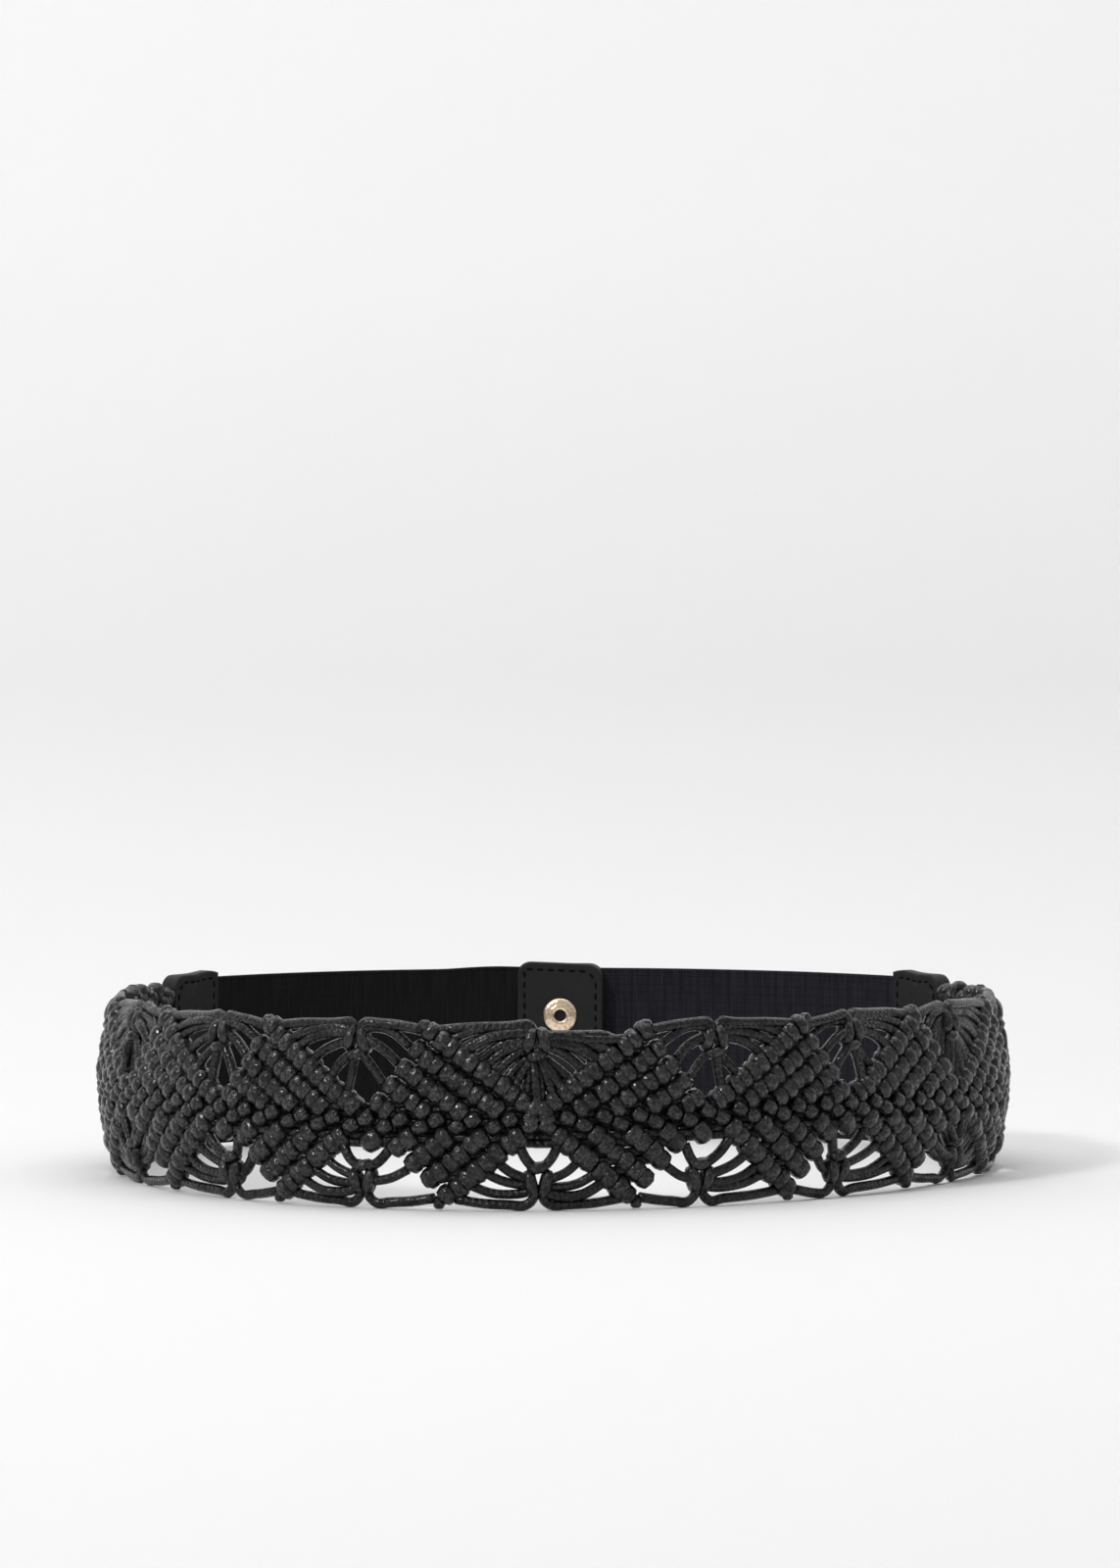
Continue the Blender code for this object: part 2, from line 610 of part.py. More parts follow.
def make_snap(level, z, tabs, elastics):
    """One snap: a stud through the inner tab and a socket through the outer tab."""
    face = CLEARANCE / 2 + SLEEVE_THICKNESS
    barrel, bore, rim = SNAP_BARREL_DIAMETER / 2, SNAP_BORE_DIAMETER / 2, SNAP_DIAMETER / 2
    seat = face + SNAP_SEAT
    stud_end = -face + SNAP_WALL
    lip = seat + SNAP_FLANGE_THICKNESS + SNAP_LIP_RISE
    flange = seat + SNAP_FLANGE_THICKNESS
    lip_radius = bore + (rim - bore) * SNAP_LIP_SHARE
    stud = [
        (0, stud_end + SNAP_WALL), (bore, stud_end + SNAP_WALL), (bore, lip), (lip_radius, lip),
        (lip_radius + SNAP_LIP_RISE, flange), (rim - SNAP_FLANGE_THICKNESS / 2, flange),
        (rim, flange - SNAP_FLANGE_THICKNESS / 2), (rim, seat), (barrel, seat),
        (barrel, stud_end), (0, stud_end),
    ]
    frame = LOOP.frame_at(CLOSURE_MIDDLE_LEFT_X, 0, z)
    make_turned("snap_stud_" + level, stud, frame)

    inside = barrel + CLEARANCE
    outside = inside + SNAP_WALL
    floor = stud_end - CLEARANCE
    cap = -seat
    dome = cap - SNAP_FLANGE_THICKNESS
    mouth = -CLEARANCE / 2
    socket = [
        (0, floor), (inside, floor), (inside, mouth), (outside, mouth), (outside, cap), (rim, cap),
        (rim, cap - SNAP_FLANGE_THICKNESS / 2), (rim * SNAP_DOME_SHARE, dome),
        (0, dome - SNAP_LIP_RISE / 2),
    ]
    make_turned("snap_socket_" + level, socket, frame)

    inner_tab, outer_tab = tabs
    left_elastic, right_elastic = elastics
    reach = SLEEVE_THICKNESS * 2
    inner_hole = LOOP.frame_at(CLOSURE_MIDDLE_LEFT_X, CLOSURE_OFFSET, z)
    outer_hole = LOOP.frame_at(CLOSURE_MIDDLE_LEFT_X, -CLOSURE_OFFSET, z)
    for item in (inner_tab, left_elastic):
        drill(item, inner_hole, SNAP_BARREL_DIAMETER + 2 * CLEARANCE, reach)
    for item in (outer_tab, right_elastic):
        drill(item, outer_hole, 2 * (outside + CLEARANCE), reach)


def stand_on_origin():
    """Puts the origin under the middle of the belt, at the height of its lowest point."""
    bpy.context.view_layer.update()
    depsgraph = bpy.context.evaluated_depsgraph_get()
    corners = []
    for item in BELT.objects:
        evaluated = item.evaluated_get(depsgraph)
        places = np.array([evaluated.matrix_world @ vert.co for vert in evaluated.data.vertices])
        corners += [places.min(axis=0), places.max(axis=0)]
    low, high = np.min(corners, axis=0), np.max(corners, axis=0)
    STAND.location = (-(low[0] + high[0]) / 2, -(low[1] + high[1]) / 2, -low[2])


make_panel()
left_elastic = make_elastic("elastic_left", LEFT_ELASTIC_X, CLOSURE_LEFT_X, True)
right_elastic = make_elastic("elastic_right", RIGHT_ELASTIC_X, CLOSURE_RIGHT_X, False)
make_end_tab("end_tab_left", LEFT_TAB_X, -1)
make_end_tab("end_tab_right", RIGHT_TAB_X, 1)
inner_tab = make_closure_tab("closure_tab_inner", CLOSURE_LEFT_X, -1, True)
outer_tab = make_closure_tab("closure_tab_outer", CLOSURE_RIGHT_X, 1, False)
for level, offset in (("upper", SNAP_SPACING / 2), ("lower", -SNAP_SPACING / 2)):
    make_snap(level, TAB_MIDDLE + offset, (inner_tab, outer_tab), (left_elastic, right_elastic))
stand_on_origin()
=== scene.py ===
import math

import bmesh
import bpy
import numpy as np
from mathutils import Matrix, Vector


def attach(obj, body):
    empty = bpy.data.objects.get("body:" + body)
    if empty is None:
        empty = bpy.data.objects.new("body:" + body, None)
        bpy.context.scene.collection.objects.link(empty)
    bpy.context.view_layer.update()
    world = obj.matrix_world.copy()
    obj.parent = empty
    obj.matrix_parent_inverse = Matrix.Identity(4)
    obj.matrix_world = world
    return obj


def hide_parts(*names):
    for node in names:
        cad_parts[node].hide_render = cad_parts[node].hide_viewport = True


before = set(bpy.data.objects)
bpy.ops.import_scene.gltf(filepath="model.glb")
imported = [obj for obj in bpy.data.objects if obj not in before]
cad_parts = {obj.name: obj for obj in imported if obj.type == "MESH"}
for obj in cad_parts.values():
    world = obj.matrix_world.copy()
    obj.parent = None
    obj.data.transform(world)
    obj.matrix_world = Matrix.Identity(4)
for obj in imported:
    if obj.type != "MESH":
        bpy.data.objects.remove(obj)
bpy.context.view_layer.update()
scene = bpy.context.scene
scene.view_settings.view_transform = "Standard"
dice = np.random.default_rng(12)
print("frame loaded,", len(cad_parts), "nodes")


# the loop in which the belt stands
belt = {
    "length": 0.944,  # once round, along the middle of the thickness
    "radiusShares": (0.942, 0.890, 0.948, 1.061, 1.039, 1.000, 1.030, 1.047, 1.001, 0.977),
    "centre": (0.000215, -0.005442),
    "middleHeight": 0.0316,
    "fineness": 2880,
}


def drawLoop():
    shares = np.array(belt["radiusShares"])
    waves = np.fft.rfft(shares) / len(shares)
    bearing = np.linspace(0, 2 * math.pi, belt["fineness"] + 1)
    radius = np.full_like(bearing, waves[0].real)
    for order in range(1, len(waves)):
        weight = 1 if 2 * order == len(shares) else 2
        radius += weight * (waves[order] * np.exp(1j * order * bearing)).real
    points = np.stack([radius * np.sin(bearing), -radius * np.cos(bearing)], axis=1)
    along = np.concatenate([[0], np.cumsum(np.linalg.norm(np.diff(points, axis=0), axis=1))])
    scale = belt["length"] / along[-1]
    points, along = points * scale, along * scale
    tangent = np.gradient(points, along, axis=0)
    tangent[0] = tangent[-1] = (points[1] - points[-2]) / (2 * along[1])
    tangent /= np.linalg.norm(tangent, axis=1)[:, None]
    return points + np.array(belt["centre"]), along, np.stack([tangent[:, 1], -tangent[:, 0]], axis=1)


loopPoints, loopAlong, loopOutward = drawLoop()


# flat rows are x along the belt, y into the loop and z up
def onLoop(flat):
    flat = np.asarray(flat, dtype=float)
    along = np.mod(flat[:, 0], belt["length"])
    spot = np.stack([np.interp(along, loopAlong, loopPoints[:, k]) for k in (0, 1)], axis=1)
    out = np.stack([np.interp(along, loopAlong, loopOutward[:, k]) for k in (0, 1)], axis=1)
    out /= np.linalg.norm(out, axis=1)[:, None]
    return np.column_stack([spot - out * flat[:, 1:2], flat[:, 2]])


# the knotted front bends inwards at its two edges, most at the loop's sides
bulge = {"least": 0.0010, "more": 0.0040, "places": (0.06, 0.16, 0.25, 0.30), "shares": (0, 1, 1, 0)}


def bulgedOnLoop(flat):
    flat = np.array(flat, dtype=float)
    depth = bulge["least"] + bulge["more"] * np.interp(abs(flat[:, 0]), bulge["places"], bulge["shares"])
    flat[:, 1] += depth * ((flat[:, 2] - belt["middleHeight"]) / belt["middleHeight"]) ** 2
    return onLoop(flat)


def selectOnly(piece):
    if bpy.context.object and bpy.context.object.mode != "OBJECT":
        bpy.ops.object.mode_set(mode="OBJECT")
    bpy.ops.object.select_all(action="DESELECT")
    piece.select_set(True)
    bpy.context.view_layer.objects.active = piece


def addObject(name, data):
    piece = bpy.data.objects.new(name, data)
    scene.collection.objects.link(piece)
    return piece


def resizeVerts(value):
    bpy.ops.object.mode_set(mode="EDIT")
    bpy.ops.mesh.select_all(action="SELECT")
    bpy.ops.transform.resize(value=value)
    bpy.ops.object.mode_set(mode="OBJECT")


def span(edge, axis):
    return abs(edge.verts[0].co[axis] - edge.verts[1].co[axis])


def bevelEdges(piece, wanted, offset, segments):
    selectOnly(piece)
    bpy.ops.object.mode_set(mode="EDIT")
    bpy.ops.mesh.select_mode(type="EDGE")
    bpy.ops.mesh.select_all(action="DESELECT")
    shape = bmesh.from_edit_mesh(piece.data)
    for edge in shape.edges:
        if wanted(edge):
            edge.select_set(True)
    shape.select_flush_mode()
    bmesh.update_edit_mesh(piece.data)
    bpy.ops.mesh.bevel(offset=offset, segments=segments, profile=0.5, affect="EDGES")
    bpy.ops.object.mode_set(mode="OBJECT")


def sliceAlong(piece, axis, places):
    selectOnly(piece)
    bpy.ops.object.mode_set(mode="EDIT")
    for place in places:
        bpy.ops.mesh.select_all(action="SELECT")
        spot, direction = [0, 0, 0], [0, 0, 0]
        spot[axis], direction[axis] = place, 1
        bpy.ops.mesh.bisect(plane_co=spot, plane_no=direction)
    bpy.ops.object.mode_set(mode="OBJECT")


def readVerts(piece):
    rows = np.empty(len(piece.data.vertices) * 3)
    piece.data.vertices.foreach_get("co", rows)
    return rows.reshape(-1, 3)


def writeVerts(piece, rows):
    piece.data.vertices.foreach_set("co", np.asarray(rows, dtype=np.float32).ravel())
    piece.data.update()


# the flat place of every corner in metres, for patterns that follow the belt
def storeFlatUv(piece):
    rows = readVerts(piece)
    layer = piece.data.uv_layers.new(name="flat")
    corners = np.empty(len(piece.data.loops), dtype=np.int32)
    piece.data.loops.foreach_get("vertex_index", corners)
    layer.data.foreach_set("uv", rows[corners][:, (0, 2)].astype(np.float32).ravel())


def wrapRound(piece):
    writeVerts(piece, onLoop(readVerts(piece)))


def finishPiece(piece, material, nodes=()):
    piece.data.materials.clear()
    piece.data.materials.append(material)
    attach(piece, "root")
    if nodes:
        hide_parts(*nodes)


# many small shapes as one mesh: each is (verts, faces, uvs for every corner of every face)
def joinShapes(name, shapes, placed=onLoop):
    verts, faces, uvs, start = [], [], [], 0
    for rows, sides, spots in shapes:
        verts.append(rows)
        faces += [tuple(start + corner for corner in side) for side in sides]
        uvs.append(spots)
        start += len(rows)
    mesh = bpy.data.meshes.new(name)
    mesh.from_pydata(placed(np.vstack(verts)).tolist(), [], faces)
    layer = mesh.uv_layers.new(name="strand")
    layer.data.foreach_set("uv", np.vstack(uvs).astype(np.float32).ravel())
    mesh.polygons.foreach_set("use_smooth", [True] * len(mesh.polygons))
    mesh.update()
    return addObject(name, mesh)


def smoothPath(points, steps):
    points = np.array(points, dtype=float)
    padded = np.vstack([2 * points[0] - points[1], points, 2 * points[-1] - points[-2]])
    rows = []
    for k in range(1, len(padded) - 2):
        a, b, c, d = padded[k - 1:k + 3]
        for step in range(steps):
            t = step / steps
            rows.append(0.5 * (2 * b + (c - a) * t + (2 * a - 5 * b + 4 * c - d) * t * t
                               + (3 * b - a - 3 * c + d) * t ** 3))
    rows.append(points[-1])
    return np.array(rows)


# a round strand along a path, with its length and turn as uv
def strandShape(path, radius, sides=8, closed=False, taper=1.0):
    path = np.asarray(path, dtype=float)
    count = len(path)
    if closed:
        following = np.roll(path, -1, axis=0)
        ahead = following - np.roll(path, 1, axis=0)
        length = np.concatenate([[0], np.cumsum(np.linalg.norm(following - path, axis=1))])
    else:
        ahead = np.gradient(path, axis=0)
        length = np.concatenate([[0], np.cumsum(np.linalg.norm(np.diff(path, axis=0), axis=1))])
    ahead /= np.linalg.norm(ahead, axis=1)[:, None]
    reference = np.eye(3)[abs(ahead).max(axis=0).argmin()] if closed else np.array([0.0, 1.0, 0.0])
    across = np.cross(ahead, reference)
    across /= np.linalg.norm(across, axis=1)[:, None]
    other = np.cross(across, ahead)
    turn = np.arange(sides) / sides * 2 * math.pi
    size = np.full(count, radius)
    if not closed:
        size[[0, -1]] *= taper
    ring = across[:, None] * np.cos(turn)[None, :, None] + other[:, None] * np.sin(turn)[None, :, None]
    verts = (path[:, None] + ring * size[:, None, None]).reshape(-1, 3)
    faces, uvs = [], []
    start = dice.uniform(0, 0.01)
    for k in range(count if closed else count - 1):
        here, there = k * sides, (k + 1) % count * sides
        for side in range(sides):
            beside = (side + 1) % sides
            faces.append((here + side, there + side, there + beside, here + beside))
            low, high = start + length[k], start + length[k + 1]
            uvs += [(low, side / sides), (high, side / sides),
                    (high, (side + 1) / sides), (low, (side + 1) / sides)]
    if not closed:
        faces.append(tuple(range(sides)))
        faces.append(tuple(range(count * sides - 1, (count - 1) * sides - 1, -1)))
        uvs += [(start, side / sides) for side in range(sides)] * 2
    return verts, faces, np.array(uvs)


def movedShape(shape, matrix):
    rows, faces, uvs = shape
    turned = rows @ np.array(matrix.to_3x3()).T + np.array(matrix.translation)
    return turned, faces, uvs + dice.uniform(0, 0.01)


def newMaterial(name):
    material = bpy.data.materials.new(name)
    material.use_nodes = True
    tree = material.node_tree
    return material, tree, tree.nodes["Principled BSDF"]


# each input takes a number, a colour or another node's output
def setInputs(tree, node, inputs):
    for key, value in inputs.items():
        if isinstance(value, bpy.types.NodeSocket):
            tree.links.new(value, node.inputs[key])
        else:
            node.inputs[key].default_value = value


def addNode(tree, kind, inputs=None, **settings):
    node = tree.nodes.new(kind)
    for key, value in settings.items():
        setattr(node, key, value)
    setInputs(tree, node, inputs or {})
    return node


def mathNode(tree, operation, first, second=0.0, third=0.0):
    return addNode(tree, "ShaderNodeMath", {0: first, 1: second, 2: third}, operation=operation).outputs[0]


# the sum of some values, each times its share
def sumNode(tree, *terms):
    total = 0.0
    for value, share in terms:
        total = mathNode(tree, "MULTIPLY_ADD", value, share, total)
    return total


def rampNode(tree, value, low, high, start=0.0, end=1.0):
    inputs = {"Value": value, "From Min": low, "From Max": high, "To Min": start, "To Max": end}
    return addNode(tree, "ShaderNodeMapRange", inputs).outputs["Result"]


def noiseNode(tree, spot, scale, detail, roughness=0.5):
    inputs = {"Vector": spot, "Scale": scale, "Detail": detail, "Roughness": roughness}
    return addNode(tree, "ShaderNodeTexNoise", inputs).outputs["Fac"]


def objectSpot(tree):
    return addNode(tree, "ShaderNodeTexCoord").outputs["Object"]


def mixColour(tree, share, first, second):
    node = addNode(tree, "ShaderNodeMix", {0: share, 6: (*first, 1), 7: (*second, 1)}, data_type="RGBA")
    return node.outputs[2]


def bumpNode(tree, height, strength, distance):
    inputs = {"Height": height, "Strength": strength, "Distance": distance}
    return addNode(tree, "ShaderNodeBump", inputs).outputs["Normal"]


cordLook = {
    "dark": (0.0010, 0.0010, 0.0013), "light": (0.0085, 0.0085, 0.0104), "roughness": 0.33, "shine": 0.34,
    "twist": 0.0022, "strands": 5, "braidRelief": 0.35, "fuzzRelief": 0.40, "relief": 0.00026,
    "glints": 1.0, "glintRoughness": 0.19, "glintRelief": 0.00028,
}


# a paintedShadeFactor below 1 makes a darker copy of the cord, with less shine and fewer glints: painted
# shade for cords that lie in shade
def cordMaterial(name, paintedShadeFactor=1.0):
    material, tree, shader = newMaterial(name)
    uv = addNode(tree, "ShaderNodeUVMap", uv_map="strand").outputs["UV"]
    parts = addNode(tree, "ShaderNodeSeparateXYZ", {0: uv}).outputs
    spot = objectSpot(tree)
    fuzz = noiseNode(tree, spot, 900.0, 3.0)
    # two sets of strands wind round the cord, one each way
    braid = -1.0
    for way in (1, -1):
        phase = sumNode(tree, (parts["X"], 2 * math.pi / cordLook["twist"]),
                        (parts["Y"], way * 2 * math.pi * cordLook["strands"]), (fuzz, 2.5))
        braid = mathNode(tree, "MAXIMUM", braid, mathNode(tree, "SINE", phase))
    height = sumNode(tree, (braid, cordLook["braidRelief"]), (fuzz, cordLook["fuzzRelief"]))
    patches = noiseNode(tree, spot, 260.0, 4.0, 0.7)
    # painted shade: the colour is darker in the braid's grooves and lighter on its crests, from the same
    # braid relief as the bump, mixed with random tone from the patches
    shadedGroovesAndTone = rampNode(tree, sumNode(tree, (braid, 0.25), (patches, 1.0)), 0.35, 0.95)
    dark, light = (tuple(paintedShadeFactor * part for part in cordLook[shade]) for shade in ("dark", "light"))
    # small waxy spots catch the light, each at its own slant
    flecks = noiseNode(tree, spot, 1300.0, 2.0)
    waxy = mathNode(tree, "MULTIPLY", rampNode(tree, flecks, 0.44, 0.54), rampNode(tree, patches, 0.36, 0.50))
    slant = noiseNode(tree, spot, 800.0, 1.0)
    rough = cordLook["roughness"]
    setInputs(tree, shader, {
        "Base Color": mixColour(tree, shadedGroovesAndTone, dark, light),
        "Roughness": rampNode(tree, patches, 0.35, 0.65, rough + 0.10, rough - 0.06),
        "Specular IOR Level": cordLook["shine"] * paintedShadeFactor,
        "Normal": bumpNode(tree, height, 1.0, cordLook["relief"]),
        "Coat Weight": mathNode(tree, "MULTIPLY", waxy, cordLook["glints"] * paintedShadeFactor),
        "Coat Roughness": cordLook["glintRoughness"],
        "Coat Normal": bumpNode(tree, slant, 1.0, cordLook["glintRelief"]),
    })
    return material


elasticLook = {
    "weft": 0.00095, "warp": 0.00062, "roughness": 0.78, "shine": 0.14, "relief": 0.00012,
    # how far apart the rubber threads show as darker lines
    "threads": {"X": 0.0061, "Y": 0.0031},
}


def elasticMaterial(name, dark, light, grid):
    material, tree, shader = newMaterial(name)
    uv = addNode(tree, "ShaderNodeUVMap", uv_map="flat").outputs["UV"]
    parts = addNode(tree, "ShaderNodeSeparateXYZ", {0: uv}).outputs

    def wave(kind, part, pitch):
        return mathNode(tree, kind, mathNode(tree, "MULTIPLY", parts[part], 2 * math.pi / pitch))

    weave = sumNode(tree, (wave("SINE", "X", elasticLook["weft"]), 0.5),
                    (wave("SINE", "Y", elasticLook["warp"]), 0.5))
    drawn = addNode(tree, "ShaderNodeMapping", {"Vector": uv, "Scale": (900, 60, 1)}).outputs[0]
    streaks = noiseNode(tree, drawn, 1.0, 3.0)
    fuzz = noiseNode(tree, objectSpot(tree), 2600.0, 2.0)
    lines = 0.0
    for part, pitch in elasticLook["threads"].items():
        lines = mathNode(tree, "MAXIMUM", lines, rampNode(tree, wave("COSINE", part, pitch), 0.88, 1.0))
    tone = rampNode(tree, sumNode(tree, (weave, 0.22), (streaks, 1.0), (lines, -grid)), 0.25, 0.85)
    setInputs(tree, shader, {
        "Base Color": mixColour(tree, tone, dark, light),
        "Roughness": elasticLook["roughness"],
        "Specular IOR Level": elasticLook["shine"],
        "Normal": bumpNode(tree, sumNode(tree, (weave, 1.0), (fuzz, 0.8)), 0.6, elasticLook["relief"]),
    })
    return material


leatherLook = {"dark": (0.0055, 0.0055, 0.0058), "light": (0.0140, 0.0140, 0.0148), "grain": 1100.0,
               "roughness": 0.55, "shine": 0.28, "relief": 0.00018}


def leatherMaterial(name):
    material, tree, shader = newMaterial(name)
    spot = objectSpot(tree)
    grain = addNode(tree, "ShaderNodeTexVoronoi", {"Vector": spot, "Scale": leatherLook["grain"]},
                    feature="DISTANCE_TO_EDGE").outputs["Distance"]
    pebble = rampNode(tree, grain, 0.0, 0.18)
    creases = noiseNode(tree, spot, 140.0, 5.0)
    tone = sumNode(tree, (pebble, 0.4), (noiseNode(tree, spot, 45.0, 3.0), 0.6))
    rough = leatherLook["roughness"]
    setInputs(tree, shader, {
        "Base Color": mixColour(tree, tone, leatherLook["dark"], leatherLook["light"]),
        "Roughness": rampNode(tree, creases, 0.3, 0.7, rough + 0.1, rough - 0.1),
        "Specular IOR Level": leatherLook["shine"],
        "Normal": bumpNode(tree, sumNode(tree, (pebble, 0.5), (creases, 1.0)), 0.45, leatherLook["relief"]),
    })
    return material


goldLook = {"bright": (1.0, 0.81, 0.61), "dull": (0.60, 0.39, 0.24), "roughness": 0.28, "relief": 0.00025}


def goldMaterial(name):
    material, tree, shader = newMaterial(name)
    spot = objectSpot(tree)
    dents = addNode(tree, "ShaderNodeTexVoronoi", {"Vector": spot, "Scale": 900.0},
                    feature="SMOOTH_F1").outputs["Distance"]
    stains = noiseNode(tree, spot, 900.0, 5.0, 0.7)
    worn = rampNode(tree, stains, 0.48, 0.68)
    rough = goldLook["roughness"]
    setInputs(tree, shader, {
        "Base Color": mixColour(tree, worn, goldLook["bright"], goldLook["dull"]),
        "Roughness": rampNode(tree, worn, 0.0, 1.0, rough, rough + 0.25),
        "Metallic": 1.0,
        "Normal": bumpNode(tree, sumNode(tree, (dents, 1.0), (stains, 0.5)), 0.5, goldLook["relief"]),
    })
    return material


def plainMaterial(name, colour, roughness, grainScale, shine):
    material, tree, shader = newMaterial(name)
    grain = noiseNode(tree, objectSpot(tree), grainScale, 3.0)
    darker = tuple(0.82 * part for part in colour)
    setInputs(tree, shader, {"Base Color": mixColour(tree, grain, darker, colour), "Roughness": roughness,
                             "Specular IOR Level": shine})
    return material


waxedCord = cordMaterial("waxed_cord")
# painted shade: the fans' cords are the same cord, drawn with a darker copy of its material
shadedFanCord = cordMaterial("waxed_cord_fan_painted_shade", 0.72)
# painted shade: the cores and the cords between the bars are the same cord, drawn with a still darker copy of
# its material
shadedWorkingCord = cordMaterial("waxed_cord_between_painted_shade", 0.6)
leftWeb = elasticMaterial("elastic_web_left", (0.0022, 0.0022, 0.0025), (0.0105, 0.0105, 0.0110), 0.06)
rightWeb = elasticMaterial("elastic_web_right", (0.0072, 0.0072, 0.0110), (0.0230, 0.0230, 0.0300), 0.22)
tabLeather = leatherMaterial("tab_leather")
tabThread = plainMaterial("tab_thread", (0.0012, 0.0012, 0.0014), 0.8, 2500.0, 0.10)
snapGold = goldMaterial("snap_gold")
snapInside = plainMaterial("snap_inside", (0.045, 0.016, 0.007), 0.55, 1200.0, 0.5)
print("materials made")


# the knotted front: bars of wraps, laid flat and then bent round the loop
panel = {
    "height": 0.0625,
    "spine": 0.0308,
    "spineWander": 0.0012,
    "diamonds": 5,  # on each side of the centre waist
    "diamondLength": 0.0597,
    "chevrons": 5,
    "centreWaist": -0.0052,
    # where the arms end, as shares of the diamond's length
    "upperReach": 0.615, "lowerReach": 0.53,
    # how far a chevron's point lies past its place in the row
    "pointShift": 0.0026,
    # from the point to the second wrap on the spine, and to the start of the lower arm
    "besidePoint": (0.00535, -0.00245), "lowerStart": (0.0092, -0.00585),
    "leftMouth": -0.3137, "rightMouth": 0.3053,
    "coreRadius": 0.0019, "workingRadius": 0.0015,
    "spineCords": (-0.0082, -0.0058, -0.0034, -0.0011, 0.0012, 0.0035),
}
wrap = {
    "pitch": 0.00424, "along": 0.0052, "upperAcross": 0.0080, "lowerAcross": 0.0082, "depth": 0.0072,
    "ringRadius": 0.0018, "cordRadius": 0.0017, "fullness": 2.3, "uvRadius": 0.0030,
    # from an arm's start to its first wrap
    "upperSkip": 0.0033, "lowerSkip": -0.0021,
    # a lower arm that is shorter becomes a stub of this size
    "shortest": 0.004, "stub": 0.003,
    "pairing": 0.05, "tilt": 0.10,
    "wander": 0.00020, "growth": 0.03, "tiltWander": 0.04, "leanWander": 0.06,
    # rounder wraps in two rows along the spine, where the arms cross: their slope and size
    "spineWraps": ((-0.55, (0.84, 0.98, 1.10)), (-0.45, (0.80, 0.96, 1.14))),
}


def finishCords(name, shapes, material, nodes=()):
    finishPiece(joinShapes(name, shapes, bulgedOnLoop), material, nodes)


def spineHeight(x):
    return panel["spine"] + panel["spineWander"] * math.sin(x * 24 - 0.4)


# the diamonds open away from the centre waist, on both sides of it
def diamondStart(place):
    opens = 1 if place >= 0 else -1
    return opens, panel["centreWaist"] + (place if place >= 0 else place + 1) * panel["diamondLength"]


# flat places on a chevron: its point, the wrap beside it, its lower arm's start and the two arms' ends
def chevronPlaces(waist, opens, chevron, narrowing):
    left = 1 - chevron / panel["chevrons"] if narrowing else 1.0
    along = chevron * panel["diamondLength"] / panel["chevrons"]
    x = waist + opens * (along - panel["pointShift"])
    point = np.array([x, 0.0, spineHeight(x)])
    beside, lowerStart = (point + (opens * run, 0.0, rise)
                          for run, rise in (panel["besidePoint"], panel["lowerStart"]))
    places = [point, beside, lowerStart]
    # at the belt's ends the bars are cut off where they meet the leather
    limit = panel["rightMouth" if opens > 0 else "leftMouth"] - opens * 0.0002
    for start, reach, level in (
            (point, panel["upperReach"], panel["height"] - wrap["upperAcross"] * 0.42),
            (lowerStart, panel["lowerReach"], wrap["lowerAcross"] * 0.42)):
        end = np.array([waist + opens * (along + reach * panel["diamondLength"] * left), 0.0,
                        point[2] + left * (level - point[2])])
        beyond = (end[0] - limit) * opens > 0
        share = (limit - start[0]) / (end[0] - start[0]) if beyond else 1.0
        places.append(start + (end - start) * share)
    return places


def makeWrap():
    ringRadius, cordRadius, power = wrap["ringRadius"], wrap["cordRadius"], wrap["fullness"]
    stretch = wrap["along"] / (2 * cordRadius)
    bpy.ops.object.select_all(action="DESELECT")
    bpy.ops.mesh.primitive_torus_add(major_segments=12, minor_segments=8, major_radius=ringRadius,
                                     minor_radius=cordRadius)
    ring = bpy.context.object
    resizeVerts((1.0, 1.0, stretch))
    rows = readVerts(ring)
    # the round ring becomes a fuller one, squarer across the bar and flatter against its neighbours
    bearing = np.arctan2(rows[:, 1], rows[:, 0])
    out = np.hypot(rows[:, 0], rows[:, 1]) - ringRadius
    tube = np.arctan2(rows[:, 2] / stretch, out)
    fuller, squarer = ((abs(np.cos(angle)) ** power + abs(np.sin(angle)) ** power) ** (-1 / power)
                       for angle in (tube, bearing))
    rows[:, 2] *= fuller
    rows[:, :2] *= ((ringRadius + out * fuller) / (ringRadius + out) * squarer)[:, None]
    faces = [tuple(face.vertices) for face in ring.data.polygons]
    uvs = np.empty(len(ring.data.loops) * 2)
    ring.data.uv_layers[0].data.foreach_get("uv", uvs)
    uvs = uvs.reshape(-1, 2) * (2 * math.pi * wrap["uvRadius"], 1.0)
    bpy.data.objects.remove(ring, do_unlink=True)
    return rows, faces, uvs


# a wrap's matrix: its own z along the arm, its x across the arm and its y into the belt
def wrapMatrix(spot, direction, tilt, lean, size):
    along = Vector(direction).normalized()
    inward = Vector((0, 1, 0))
    across = inward.cross(along).normalized()
    turn = Matrix((across, inward, along)).transposed().to_4x4()
    return (Matrix.Translation(Vector(spot)) @ turn @ Matrix.Rotation(tilt, 4, "Y")
            @ Matrix.Rotation(lean, 4, "X") @ Matrix.Diagonal((*size, 1.0)))


